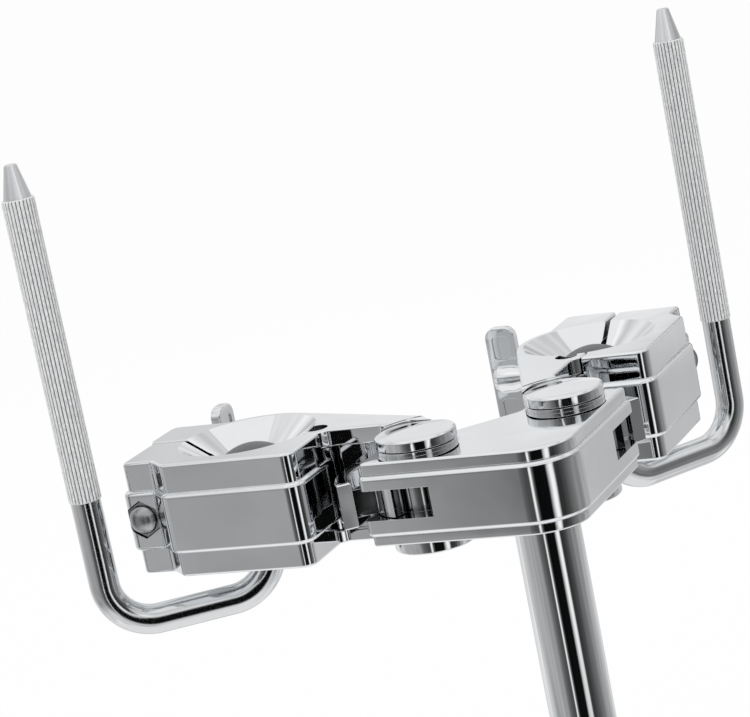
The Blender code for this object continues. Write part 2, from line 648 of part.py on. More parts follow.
def build_wing_screw(side_name, side):
    """Wing, collar and bolt in one piece; the wing stands upright at rest."""
    bolt = Vector((*clamp_xy(side, BOLT_S, 0), BALL_Z))
    n_axis = clamp_axis(side, 90)
    s_axis = clamp_axis(side, 0)
    n0, n1 = (-v for v in WING_N)
    r, foot = 5 * MM, 2.5 * MM
    mid, reach = (n0 + n1) / 2, WING_REACH
    arcs = [(n0 - r, reach - r, r, 0, 90), (n1 + r, reach - r, r, 90, 180),
            (n1 + foot, -mid * 0 - reach + r + foot, foot, 180, 200),
            (n1 + r, -reach + r, r, 200, 270), (n0 - r, -reach + r, r, 270, 360)]
    frame = Matrix((n_axis, Vector((0, 0, 1)), s_axis)).transposed().to_4x4()
    frame.translation = bolt
    edge = 0.8 * MM
    wing = flat("wing_screw_" + side_name, trace(arcs, edge), -WING_T / 2, WING_T / 2, edge=edge,
                mat=CHROME, matrix=frame)
    seat = -(EAR_N - WEB_INSET + WASHER_T + 2 * GAP)
    collar = turned("wing_collar_" + side_name,
                    [(0, seat), (6.8 * MM, seat), (7.2 * MM, seat - 0.4 * MM),
                     (7.2 * MM, -30 * MM), (5.4 * MM, -33 * MM), (5.4 * MM, -46 * MM),
                     (6.6 * MM, -50 * MM), (6.6 * MM, -57 * MM), (5.4 * MM, -59 * MM),
                     (0, -59 * MM)], 24, bolt, n_axis, cutter=True)
    shank = turned("wing_shank_" + side_name,
                   rod_profile(BOLT_R, -30 * MM, 29.4 * MM, 0.6 * MM), 20, bolt, n_axis, cutter=True)
    add(wing, collar, shank)
    for label, z in (("up", 1), ("low", -1)):
        panel = [(n0 - 3.4 * MM, z * 9.0 * MM), (n0 - 3.4 * MM, z * 19.5 * MM),
                 (n1 + 3.4 * MM, z * 19.5 * MM), (n1 + 3.4 * MM, z * 9.0 * MM)]
        for face in (-1, 1):
            depth = sorted((face * (WING_T / 2 - 0.7 * MM), face * (WING_T / 2 + 2 * MM)))
            cut(wing, flat("wing_panel_%s_%d_%s" % (label, face, side_name), panel, *depth,
                           cutter=True, matrix=frame))
    bore, rim = BOLT_R + 0.4 * MM, 8 * MM
    w1 = -(EAR_N - WEB_INSET + GAP)
    w0 = w1 - WASHER_T
    washer = turned("wing_washer_" + side_name,
                    [(bore, w1), (rim, w1), (rim, w0), (bore, w0), (bore, w1)], 24, bolt, n_axis,
                    mat=STEEL)
    return welded(wing), washer


# ---------------------------------------------------------------- ball and rod

def rod_plan(side, reach):
    a = math.radians(ROD_DIR)
    return side * (CLAMP[0] + reach * math.cos(a)), CLAMP[1] + reach * math.sin(a)


def build_ball(side_name, side):
    bore = ROD_R + GAP
    low = math.sqrt(BALL_R ** 2 - 13.5 ** 2 * MM * MM)
    roof = 14.0 * MM
    profile = [(0, BALL_R)]
    count = 11
    end = math.degrees(math.asin(low / BALL_R))
    for i in range(1, count + 1):
        a = math.radians(90 - (90 + end) * i / count)
        profile.append((BALL_R * math.cos(a), BALL_R * math.sin(a)))
    profile += [(bore, -low), (bore, roof), (0, roof)]
    x, y = clamp_xy(side, 0, 0)
    return turned("ball_" + side_name, profile, 30, (x, y, BALL_Z), mat=NYLON)


def build_rod(side_name, side):
    """Short leg up into the ball, level leg outwards, long leg up with a straight knurl
    and a tapered tip."""
    top = BALL_Z + 14.0 * MM - GAP
    path = [(0.0, top)]
    for i in range(9):
        a = math.radians(180 + 90 * i / 8)
        path.append((ROD_BEND + ROD_BEND * math.cos(a), ROD_LOW_Z + ROD_BEND * (1 + math.sin(a))))
    for i in range(9):
        a = math.radians(270 + 90 * i / 8)
        path.append((ROD_REACH - ROD_BEND + ROD_BEND * math.cos(a),
                     ROD_LOW_Z + ROD_BEND * (1 + math.sin(a))))
    path.append((ROD_REACH, KNURL_Z0 + 4 * MM))
    curve = bpy.data.curves.new("l_rod_" + side_name, "CURVE")
    curve.dimensions = "3D"
    curve.bevel_depth = ROD_R
    curve.bevel_resolution = 4
    curve.use_fill_caps = True
    spline = curve.splines.new("POLY")
    spline.points.add(len(path) - 1)
    for point, (reach, z) in zip(spline.points, path):
        x, y = rod_plan(side, reach)
        point.co = (x, y, z, 1.0)
    guide = bpy.data.objects.new("rod_guide", curve)
    CUTTERS.objects.link(guide)
    bpy.context.view_layer.update()
    mesh = bpy.data.meshes.new_from_object(
        guide.evaluated_get(bpy.context.evaluated_depsgraph_get()))
    bpy.data.objects.remove(guide, do_unlink=True)
    close_mesh(mesh)
    mesh.name = "l_rod_" + side_name
    rod = place(bpy.data.objects.new("l_rod_" + side_name, mesh), ROD_CHROME)
    x, y = rod_plan(side, ROD_REACH)
    teeth = []
    for i in range(2 * KNURL_TEETH):
        a = math.pi * i / KNURL_TEETH
        r = KNURL_R if i % 2 else KNURL_R - 0.4 * MM
        teeth.append((x + r * math.cos(a), y + r * math.sin(a)))
    knurl_top = KNURL_Z0 + KNURL_LEN
    tip_top = knurl_top + TIP_LEN
    add(rod,
        flat("knurl_" + side_name, teeth, KNURL_Z0, knurl_top, cutter=True),
        turned("rod_tip_" + side_name,
               [(0, tip_top), (TIP_R[1], tip_top), (TIP_R[0], knurl_top),
                (TIP_R[0], knurl_top - 3 * MM), (0, knurl_top - 3 * MM)], 24, (x, y, 0),
               cutter=True))
    return welded(rod)


# ---------------------------------------------------------------- assembly

def build_side(side_name, side):
    tag = "_" + side_name
    x, y = clamp_xy(side, 0, 0)
    build_pivot(side_name, side)
    arm_axis = axis_empty("arm_axis" + tag, (side * PIVOT[0], PIVOT[1], ARM_Z1))
    jaw_axis = axis_empty("jaw_axis" + tag, (*clamp_xy(side, HINGE_S, 0), BALL_Z), arm_axis)
    wing_axis = axis_empty("wing_axis" + tag, (*clamp_xy(side, BOLT_S, 0), BALL_Z), arm_axis)
    ball_axis = axis_empty("ball_axis" + tag, (x, y, BALL_Z), arm_axis)
    rod_axis = axis_empty("rod_axis" + tag, (x, y, BALL_Z), ball_axis)
    wing, washer = build_wing_screw(side_name, side)
    hang(arm_axis, build_arm(side_name, side), build_hinge_pin(side_name, side), washer)
    hang(jaw_axis, build_jaw(side_name, side), build_nut(side_name, side))
    hang(wing_axis, wing)
    hang(ball_axis, build_ball(side_name, side))
    hang(rod_axis, build_rod(side_name, side))


def main():
    build_tube()
    build_body()
    for side_name, side in SIDES:
        build_side(side_name, side)


main()
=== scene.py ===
"""Double drum holder in chrome: a down tube carries a V-shaped centre body, and each wing
of the body has an arm that swings about a pin and ends in a clamp with a ball and a bent
rod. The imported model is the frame; every piece here stands for one of its nodes.

Lengths are metres, +Z is up and the front is towards -Y. Pieces of the clamps are laid
out in a clamp frame (s, n): its origin is the ball centre, s points to the jaw hinge and
n to the flat front of the jaw. Paired pieces are built on the left and mirrored to the
right, except the rods, which are built one by one. Angles in outlines are degrees.
"""
import json
import math
from contextlib import contextmanager

import bmesh
import bpy
from bpy.props import FloatProperty, FloatVectorProperty, IntProperty, PointerProperty
from mathutils import Matrix, Vector

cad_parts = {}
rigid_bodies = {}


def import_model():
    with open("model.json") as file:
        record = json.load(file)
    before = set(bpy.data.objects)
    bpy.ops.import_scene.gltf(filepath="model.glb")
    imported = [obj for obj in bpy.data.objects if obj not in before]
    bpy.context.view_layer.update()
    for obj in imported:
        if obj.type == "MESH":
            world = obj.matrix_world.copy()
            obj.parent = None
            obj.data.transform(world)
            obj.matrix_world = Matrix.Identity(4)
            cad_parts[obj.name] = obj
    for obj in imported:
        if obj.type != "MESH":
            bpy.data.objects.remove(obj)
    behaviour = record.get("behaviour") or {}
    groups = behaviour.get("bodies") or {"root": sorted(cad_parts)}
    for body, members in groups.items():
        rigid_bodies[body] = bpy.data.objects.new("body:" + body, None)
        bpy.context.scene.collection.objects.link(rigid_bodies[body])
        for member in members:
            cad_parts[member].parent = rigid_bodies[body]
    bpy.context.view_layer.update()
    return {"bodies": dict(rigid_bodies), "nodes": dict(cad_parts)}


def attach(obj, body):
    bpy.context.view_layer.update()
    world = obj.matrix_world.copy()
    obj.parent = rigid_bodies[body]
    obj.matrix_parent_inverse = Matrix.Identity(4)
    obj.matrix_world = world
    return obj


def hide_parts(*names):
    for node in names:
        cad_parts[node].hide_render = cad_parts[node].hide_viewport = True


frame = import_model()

bl_info = {
    "name": "Double Drum Holder",
    "version": (1, 0, 0),
    "blender": (4, 5, 0),
    "location": "3D View > Sidebar > Drum Holder",
    "description": "Builds a chrome double drum holder and its studio",
    "category": "Object",
}

MM = 0.001
GAP = 0.3 * MM                     # clearance between neighbouring pieces
PAST = 2 * MM                      # how far a cutter reaches past what it cuts

# Down tube
TUBE_R = 12.7 * MM
TUBE_WALL = 1.8 * MM
TUBE_BELOW = 250 * MM              # length below the centre body
TUBE_IN_BODY = 28 * MM
FOOT_FLANGE = 3 * MM
FOOT_STEM = 15 * MM

# Heights of the stack, counted from the foot
BODY_Z0 = FOOT_FLANGE + TUBE_BELOW
BODY_H = 33.3 * MM
BODY_Z1 = BODY_Z0 + BODY_H
ARM_Z1 = BODY_Z1 + 7.4 * MM        # top of the arm plates and clamps
CLAMP_H = 46.4 * MM
ARM_Z0 = ARM_Z1 - CLAMP_H
BALL_Z = (ARM_Z0 + ARM_Z1) / 2
TOP_PLATE = 7.0 * MM
LOW_PLATE_Z1 = BODY_Z0 - GAP
EAR_TOP = ARM_Z1 - 1.0 * MM        # disc over the pivot, a little below the plate
EAR_UNDER = ARM_Z1 - 5.2 * MM

# Plan layout, right half
PIVOT = (32.3 * MM, 34.1 * MM)
CLAMP = (78.0 * MM, 99.2 * MM)
S_DIR = 225.0                      # direction of s for the right clamp
N_DIR = 315.0

# Centre body
NOSE_R = 19.6 * MM
LEG_FRONT = 20.9 * MM              # front face of a leg, from the pivot
LEG_END = 18.8 * MM                # end of a leg beyond the pivot
BACK_Y = 43.5 * MM
BOSS_R = 15.7 * MM
PIN_R = 5.0 * MM                   # pivot pin
PIN_HEAD_R = 7.6 * MM
PIVOT_WASHER_R = 11.0 * MM
SET_SCREW_R = 4.0 * MM
SLOT_H = 12.0 * MM
SLOT_Z = BODY_Z1 - 16.5 * MM       # middle of the stop slot
SLOT_R = (12.6 * MM, 42 * MM)      # from the pivot, open past the end of the leg
SLOT_ANGLES = (64, 176)

# Arm
EAR_R = 16.0 * MM
RING_R = 31.0 * MM
SPLIT = 1.2 * MM                   # half of the gap between the jaws
HINGE_S = 30.7 * MM                # jaw hinge, on the s axis
KNUCKLE_R = 8.1 * MM
JAW_KNUCKLE_R = 7.2 * MM
HINGE_PIN_R = 4.4 * MM
PLATE_FRONT = 4.5 * MM             # front edge of the arm plates
WALL_R = (28.7 * MM, 34.4 * MM)    # curved wall round the end of the leg
TONGUE_R = (13.4 * MM, 20.2 * MM)

# Clamp and ball
FRONT_N = 37.5 * MM
FUNNEL_R = 28.2 * MM
THROAT_R = 14.5 * MM
SEAT_R = 20.0 * MM
BALL_R = SEAT_R - 0.4 * MM
BALL_FLAT_R = 13.5 * MM            # flat under the ball
BORE_ROOF = 14.0 * MM              # top of the ball's bore, above its centre
BOLT_S = -38.0 * MM
BLOCK_N = 30.0 * MM                # face of the nut block
EAR_N = 24.0 * MM                  # rear edge of the bolt ear on the plates
WEB_INSET = 0.8 * MM               # the web stands back from the plates
WASHER_T = 1.8 * MM
BOLT_R = 4.0 * MM
NUT_AF = 13.0 * MM
DOME_R = 6.1 * MM
WING_N = (47.0 * MM, 61.0 * MM)    # wing, behind the clamp
WING_REACH = 23.5 * MM
WING_T = 4.6 * MM

# Bent rod
ROD_R = 6.1 * MM
KNURL_R = 6.65 * MM
ROD_BEND = 19 * MM
ROD_REACH = 68.6 * MM
ROD_DIR = 10.5                     # direction of the horizontal leg, right side
ROD_LOW_Z = ARM_Z1 - 65 * MM
KNURL_Z0 = ARM_Z1 - 10.6 * MM
KNURL_LEN = 123.2 * MM
TIP_LEN = 13.5 * MM
TIP_R = (5.6 * MM, 2.5 * MM)

LEFT = -1
SIDES = (("left", LEFT), ("right", 1))

FINE = 2                           # turned pieces have this many times the frame's steps
ARC_STEP = 4.5                     # degrees
SMALL_ARC_STEP = 11.25
SMALL_ARC_R = 12 * MM              # arcs up to this radius take the longer step
SHARP_ANGLE = 28                   # degrees; flatter edges are shaded smooth
FLOOR_R = 40.0
SURROUND_H = 2.4                   # height of the surround, and its middle
SURROUND_MID = 0.4

WORKSHOP = bpy.data.collections.new("workshop")
bpy.context.scene.collection.children.link(WORKSHOP)


# ---------------------------------------------------------------- finishes

def linear(code):
    """sRGB hex to linear red, green, blue."""
    values = [int(code[i:i + 2], 16) / 255 for i in (1, 3, 5)]
    return tuple(v / 12.92 if v <= 0.04045 else ((v + 0.055) / 1.055) ** 2.4 for v in values)


def add_node(tree, kind, settings=None, inputs=None):
    """Adds a node, with its settings, and its sockets given a value or a link."""
    made = tree.nodes.new(kind)
    for key, value in (settings or {}).items():
        setattr(made, key, value)
    for key, value in (inputs or {}).items():
        if isinstance(value, bpy.types.NodeSocket):
            tree.links.new(value, made.inputs[key])
        else:
            made.inputs[key].default_value = value
    return made


def set_stops(ramp, stops, interpolation="LINEAR"):
    """Gives a colour ramp its (position, grey) stops."""
    band = ramp.color_ramp
    band.interpolation = interpolation
    while len(band.elements) > 1:
        band.elements.remove(band.elements[-1])
    for i, (position, grey) in enumerate(stops):
        stop = band.elements[0] if i == 0 else band.elements.new(position)
        stop.position = position
        stop.color = (grey, grey, grey, 1.0)


def new_finish(name):
    """An empty material with its output; returns it with its tree and position in mm."""
    mat = bpy.data.materials.new(name)
    mat.use_nodes = True
    tree = mat.node_tree
    tree.nodes.clear()
    place_mm = add_node(tree, "ShaderNodeVectorMath", {"operation": "SCALE"}, {
        0: add_node(tree, "ShaderNodeTexCoord").outputs["Object"], "Scale": 1000.0})
    return mat, tree, place_mm.outputs[0]


def grain(tree, place_mm, size_mm, detail=2.0, stretch=(1, 1, 1)):
    """Noise with grains of a real size in millimetres."""
    where = add_node(tree, "ShaderNodeVectorMath", {"operation": "MULTIPLY"},
                     {0: place_mm, 1: stretch})
    return add_node(tree, "ShaderNodeTexNoise", None, {
        "Vector": where.outputs[0], "Scale": 1.0 / size_mm, "Detail": detail}).outputs["Fac"]


def spread(tree, factor, low, high):
    """A noise factor turned into a value between low and high."""
    return add_node(tree, "ShaderNodeMapRange", None, {
        "Value": factor, "From Min": 0.3, "From Max": 0.7, "To Min": low, "To Max": high,
    }).outputs["Result"]


def mottled(tree, factor, colour, share):
    """A colour that noise takes towards a share of itself."""
    other = [min(1.0, v * share) for v in colour]
    return add_node(tree, "ShaderNodeMix", {"data_type": "RGBA"}, {
        "Factor": factor, "A": (*colour, 1.0), "B": (*other, 1.0)}).outputs["Result"]


def multiplied(tree, one, two):
    return add_node(tree, "ShaderNodeMix", {"data_type": "RGBA", "blend_type": "MULTIPLY"}, {
        "Factor": 1.0, "A": one, "B": two}).outputs["Result"]


def painted_recess_shade(tree, reach, closed, clear, darkest):
    """Painted shade: 1 on open surface, falling to darkest where surfaces within a reach shut it in.
    """
    sky = add_node(tree, "ShaderNodeAmbientOcclusion", {"samples": 8}, {"Distance": reach})
    return add_node(tree, "ShaderNodeMapRange", None, {
        "Value": sky.outputs["AO"], "From Min": closed, "From Max": clear,
        "To Min": darkest, "To Max": 1.0}).outputs["Result"]


def relief(tree, height, strength, depth, **under):
    """A bump of a real depth, over a softened normal where one is given."""
    return add_node(tree, "ShaderNodeBump", None, {
        "Strength": strength, "Distance": depth, "Height": height, **under}).outputs[0]


def close_finish(tree, settings):
    shader = add_node(tree, "ShaderNodeBsdfPrincipled", None, settings)
    add_node(tree, "ShaderNodeOutputMaterial", None, {"Surface": shader.outputs[0]})


def chrome_zinc(look):
    """Chrome on polished die-cast zinc: a mirror with the faint waves of hand polishing
    over the casting, edges softened by the plating, and painted shade that darkens deep
    recesses and the gaps between pieces."""
    mat, tree, mm = new_finish("chrome_plated_die_cast_zinc")
    haze = grain(tree, mm, 9.0, 3.0)
    plate = mottled(tree, haze, look.chrome_colour, 0.94)
    soft = add_node(tree, "ShaderNodeBevel", {"samples": 4}, {"Radius": look.edge_round})
    close_finish(tree, {
        # painted shade: base colour darkened in recesses and in the gaps between pieces
        "Base Color": multiplied(tree, plate, painted_recess_shade(tree, 13.0 * MM, 0.10, 0.62, 0.08)),
        "Metallic": 1.0,
        "Normal": relief(tree, grain(tree, mm, 16.0, 1.0), 0.6, look.wave_depth,
                         Normal=soft.outputs[0]),
        "Roughness": spread(tree, haze, look.chrome_roughness * 0.6, look.chrome_roughness * 1.4)})
    return mat


def chrome_tube(look):
    """Chrome on drawn steel tube: a clean mirror with hairlines of the draw along it."""
    mat, tree, mm = new_finish("chrome_plated_steel_tube")
    lines = grain(tree, mm, 0.5, 2.0, (1, 1, 0.02))
    close_finish(tree, {
        "Base Color": mottled(tree, lines, look.chrome_colour, 0.96), "Metallic": 1.0,
        "Normal": relief(tree, lines, 0.3, 0.002 * MM),
        "Roughness": spread(tree, lines, look.chrome_roughness, look.chrome_roughness * 1.8)})
    return mat


def chrome_rod(look):
    """Chrome on plain bent steel rod: a mirror broken by a slight grit, drawn at 0.6 mm,
    coarser than the real one, to show."""
    mat, tree, mm = new_finish("chrome_plated_steel_rod")
    grit = grain(tree, mm, 0.6, 4.0, (1, 1, 0.35))
    close_finish(tree, {
        "Base Color": mottled(tree, grain(tree, mm, 7.0, 2.0), look.rod_colour, 0.90),
        "Metallic": 1.0, "Normal": relief(tree, grit, 0.35, 0.01 * MM),
        "Roughness": spread(tree, grit, look.rod_roughness * 0.6, look.rod_roughness * 1.6)})
    return mat


def chrome_knurl(look):
    """Chrome over rolled teeth: crushed crests and grainy flanks scatter light, so the
    band looks pale, and painted shade darkens its grooves; the grit is drawn at 0.5 mm,
    coarser than the real one, to show."""
    mat, tree, mm = new_finish("chrome_plated_rolled_knurl")
    grit = grain(tree, mm, 0.5, 4.0, (1, 1, 0.3))
    tone = add_node(tree, "ShaderNodeMix", {"data_type": "RGBA"}, {
        "Factor": spread(tree, grit, 0.0, 1.0), "A": (*look.knurl_colour, 1.0),
        "B": (*look.knurl_shade, 1.0)})
    # painted shade: the grooves between the teeth are darkened
    painted_groove_shade = painted_recess_shade(tree, 0.8 * MM, 0.58, 0.86, 0.06)
    close_finish(tree, {
        "Base Color": multiplied(tree, tone.outputs["Result"], painted_groove_shade), "Metallic": 0.25,
        "Normal": relief(tree, grit, 0.5, 0.03 * MM),
        "Roughness": spread(tree, grain(tree, mm, 5.0, 3.0, (1, 1, 0.4)), 0.16, 0.34)})
    return mat


def zinc_steel(look):
    """Turned steel with bright zinc plating: satin, faintly clouded, with a fine grain."""
    mat, tree, mm = new_finish("bright_zinc_plated_steel")
    cloud = grain(tree, mm, 3.0, 4.0)
    close_finish(tree, {
        "Base Color": mottled(tree, cloud, look.steel_colour, 0.8), "Metallic": 1.0,
        "Normal": relief(tree, grain(tree, mm, 0.3, 2.0), 0.3, 0.01 * MM),
        "Roughness": spread(tree, cloud, 0.22, 0.38)})
    return mat


def moulded_plastic(name, colour, roughness, fleck):
    """Moulded plastic: satin, with the fine spark-eroded grain of its mould, and flecks
    that are a little paler than the rest."""
    mat, tree, mm = new_finish(name)
    flecks = grain(tree, mm, 0.8, 5.0)
    close_finish(tree, {
        "Base Color": mottled(tree, flecks, colour, fleck), "IOR": 1.53,
        "Normal": relief(tree, grain(tree, mm, 0.35, 3.0), 0.4, 0.03 * MM),
        "Roughness": spread(tree, flecks, roughness * 0.9, roughness * 1.15)})
    return mat


def ball_nylon(look):
    return moulded_plastic("glass_filled_nylon", look.ball_colour, 0.42, 1.5)


def black_acetal(look):
    return moulded_plastic("black_acetal", look.black_colour, 0.5, 1.2)


MAKERS = {"zinc": chrome_zinc, "tube": chrome_tube, "rod": chrome_rod, "knurl": chrome_knurl,
          "nut": zinc_steel, "steel": zinc_steel, "ball": ball_nylon, "black": black_acetal}
FINISHES = {}


def finish(name):
    """The finish of that name, made once from the scene's colours."""
    if name not in FINISHES:
        FINISHES[name] = MAKERS[name](bpy.context.scene.holder_look)
    return FINISHES[name]


# ---------------------------------------------------------------- outlines

def arc_points(centre, radii, a0, a1, count):
    """Points of an arc from angle a0 to a1, on a circle or an upright ellipse."""
    points = []
    for i in range(count + 1):
        a = math.radians(a0 + (a1 - a0) * i / count)
        points.append((centre[0] + radii[0] * math.cos(a), centre[1] + radii[1] * math.sin(a)))
    return points


def trace(arcs, inset=0.0):
    """Points of an outline given as arcs (cx, cy, r, a0, a1), anticlockwise, joined by
    straight lines. A negative r is a hollow arc; an inset moves the outline inwards."""
    points = []
    for cx, cy, r, a0, a1 in arcs:
        radius = r - inset if r > 0 else -r + inset
        step = ARC_STEP if abs(r) > SMALL_ARC_R else SMALL_ARC_STEP
        count = max(2, math.ceil(abs(a1 - a0) / step))
        points += arc_points((cx, cy), (radius, radius), a0, a1, count)
    return points


def rounded_box(x0, y0, x1, y1, r):
    """Arcs of a rectangle with rounded corners."""
    return [(x1 - r, y1 - r, r, 0, 90), (x0 + r, y1 - r, r, 90, 180),
            (x0 + r, y0 + r, r, 180, 270), (x1 - r, y0 + r, r, 270, 360)]


def clamp_xy(s, n, side=LEFT):
    """Plan position of a point of the clamp frame."""
    sa, na = math.radians(S_DIR), math.radians(N_DIR)
    x = CLAMP[0] + s * math.cos(sa) + n * math.cos(na)
    y = CLAMP[1] + s * math.sin(sa) + n * math.sin(na)
    return side * x, y


def clamp_axis(angle):
    """Unit vector of the left clamp frame in the plan: angle 0 is s, 90 is n."""
    a = math.radians(S_DIR + angle)
    return Vector((LEFT * math.cos(a), math.sin(a), 0.0))


def to_clamp(x, y):
    """The clamp frame's (s, n) of a plan position on the right."""
    dx, dy = x - CLAMP[0], y - CLAMP[1]
    sa, na = math.radians(S_DIR), math.radians(N_DIR)
    return dx * math.cos(sa) + dy * math.sin(sa), dx * math.cos(na) + dy * math.sin(na)


def mapped(arcs, inset=0.0, side=LEFT):
    """Plan outline of arcs given in the clamp frame."""
    return [clamp_xy(s, n, side) for s, n in trace(arcs, inset)]


PIVOT_S, PIVOT_N = to_clamp(*PIVOT)
LEFT_PIVOT = (LEFT * PIVOT[0], PIVOT[1])
HINGE = clamp_xy(HINGE_S, 0)
BALL_CENTRE = (*clamp_xy(0, 0), BALL_Z)
BOLT = Vector((*clamp_xy(BOLT_S, 0), BALL_Z))
S_AXIS, N_AXIS = clamp_axis(0), clamp_axis(90)
BACKWARDS = (0, 1, 0)              # axis of the set screws


# ---------------------------------------------------------------- shapes

@contextmanager
def editing(mesh):
    """Opens a mesh for editing, and writes it back."""
    bm = bmesh.new()
    bm.from_mesh(mesh)
    yield bm
    bm.to_mesh(mesh)
    bm.free()


def new_shape(name, data, at=(0, 0, 0), axis=None):
    """An object in the workshop, with its own Z laid along an axis where one is given."""
    obj = bpy.data.objects.new(name, data)
    WORKSHOP.objects.link(obj)
    obj.location = at
    if axis is not None:
        obj.rotation_mode = "QUATERNION"
        obj.rotation_quaternion = Vector(axis).to_track_quat("Z", "Y")
    return obj


def flat(name, outline, z0, z1, edge=0.0, matrix=None):
    """A flat plate from an outline, with its rims rounded by edge; the outline is given
    already inset by edge."""
    curve = bpy.data.curves.new(name, "CURVE")
    curve.dimensions = "2D"
    curve.fill_mode = "BOTH"
    curve.extrude = (z1 - z0) / 2 - edge
    curve.bevel_depth = edge
    curve.bevel_resolution = 4 if edge > 1 * MM else 2
    spline = curve.splines.new("POLY")
    spline.points.add(len(outline) - 1)
    for point, (x, y) in zip(spline.points, outline):
        point.co = (x, y, 0.0, 1.0)
    spline.use_cyclic_u = True
    guide = new_shape(name, curve)
    bpy.context.view_layer.update()
    graph = bpy.context.evaluated_depsgraph_get()
    mesh = bpy.data.meshes.new_from_object(guide.evaluated_get(graph))
    bpy.data.objects.remove(guide, do_unlink=True)
    mesh.transform(Matrix.Translation((0, 0, (z0 + z1) / 2)))
    if matrix:
        mesh.transform(matrix)
    with editing(mesh) as bm:
        bmesh.ops.remove_doubles(bm, verts=bm.verts, dist=1e-6)
        bmesh.ops.recalc_face_normals(bm, faces=bm.faces)
    mesh.shade_smooth()
    mesh.set_sharp_from_angle(angle=math.radians(30))
    mesh.name = name
    return new_shape(name, mesh)


def turned(name, profile, steps=48, at=(0, 0, 0), axis=(0, 0, 1)):
    """A turned piece: profile (radius, height) from the top down the outside; a profile
    that ends where it starts makes a ring."""
    mesh = bpy.data.meshes.new(name)
    ring = profile[0] == profile[-1]
    with editing(mesh) as bm:
        verts = [bm.verts.new((r, 0.0, z)) for r, z in (profile[:-1] if ring else profile)]
        for a, b in zip(verts, verts[1:] + (verts[:1] if ring else [])):
            bm.edges.new((a, b))
    obj = new_shape(name, mesh, at, axis)
    screw = obj.modifiers.new("Turn", "SCREW")
    screw.axis = "Z"
    screw.steps = screw.render_steps = steps * FINE
    screw.use_merge_vertices = True
    screw.merge_threshold = 1e-6
    screw.use_smooth_shade = True
    return obj


def rod_profile(r, z0, z1, chamfer=0.0):
    if not chamfer:
        return [(0, z1), (r, z1), (r, z0), (0, z0)]
    return [(0, z1), (r - chamfer, z1), (r, z1 - chamfer), (r, z0 + chamfer),
            (r - chamfer, z0), (0, z0)]


def washer_profile(bore, rim, z0, z1):
    return [(bore, z1), (rim, z1), (rim, z0), (bore, z0), (bore, z1)]


def cylinder(name, r, z0, z1, xy=(0, 0), chamfer=0.0, steps=28):
    return turned(name, rod_profile(r, z0, z1, chamfer), steps, (*xy, 0))


def hexagon(name, across_flats, z0, z1, at, axis):
    """A hexagonal bar along an axis, with two flats upright."""
    mesh = bpy.data.meshes.new(name)
    r = across_flats / math.sqrt(3)
    with editing(mesh) as bm:
        bmesh.ops.create_cone(bm, cap_ends=True, segments=6, radius1=r, radius2=r, depth=z1 - z0,
                              matrix=Matrix.Translation((0, 0, (z0 + z1) / 2)))
    return new_shape(name, mesh, at, axis)


def combine(obj, other, operation):
    mod = obj.modifiers.new(operation.title(), "BOOLEAN")
    mod.operation = operation
    mod.object = other
    return obj


def add(obj, *others):
    for other in others:
        combine(obj, other, "UNION")
    return obj


def cut(obj, *others):
    for other in others:
        combine(obj, other, "DIFFERENCE")
    return obj


def welded(obj):
    """Joins the hair-thin edges that the cuts leave."""
    weld = obj.modifiers.new("Weld", "WELD")
    weld.merge_threshold = 2e-5
    return obj


# ---------------------------------------------------------------- tube and centre body

def build_tube():
    inner, rim = TUBE_R - TUBE_WALL, 0.6 * MM
    z0, z1 = FOOT_FLANGE, BODY_Z0 + TUBE_IN_BODY
    tube = turned("down_tube", [(inner, z1), (TUBE_R - rim, z1), (TUBE_R, z1 - rim),
                                (TUBE_R, z0 + rim), (TUBE_R - rim, z0), (inner, z0), (inner, z1)])
    stem = inner - GAP
    flange_r, flange_z = TUBE_R - 0.2 * MM, FOOT_FLANGE - GAP
    plug = turned("tube_end_plug", [
        (0, FOOT_STEM), (stem - 1.2 * MM, FOOT_STEM), (stem, FOOT_STEM - 2 * MM), (stem, flange_z),
        (flange_r, flange_z), (flange_r, 0.8 * MM), (TUBE_R - 1.0 * MM, 0), (0, 0)], 32)
    return tube, plug


def body_arcs():
    """Heart-shaped plan of the centre body: nose round the tube, straight front faces at
    45 degrees, squared leg ends, round lobes behind the pivots and a straight back."""
    px, py = PIVOT
    lobe, corner, fillet = LEG_END, 3 * MM, 5 * MM
    rise = BACK_Y + fillet - py
    fx = px - math.sqrt((lobe + fillet) ** 2 - rise ** 2)
    contact = math.degrees(math.atan2(rise, fx - px))
    c = math.cos(math.radians(45))
    along, across = LEG_END - corner, LEG_FRONT - corner
    cx, cy = px + c * (along + across), py + c * (along - across)
    right = [(cx, cy, corner, -45, 45), (px, py, lobe, 45, contact),
             (fx, BACK_Y + fillet, -fillet, contact - 180, -90)]
    left = [(-x, y, r, 180 - a1, 180 - a0) for x, y, r, a0, a1 in reversed(right)]
    return [(0, 0, NOSE_R, 225, 315)] + right + left


def sector(name, radii, angles, z0, z1, edge=0.0, side=LEFT):
    """An arched block round the pivot; angles in the clamp frame."""
    arcs = [(PIVOT_S, PIVOT_N, radii[1], *angles), (PIVOT_S, PIVOT_N, -radii[0], *angles[::-1])]
    return flat(name, mapped(arcs, edge, side), z0, z1, edge)


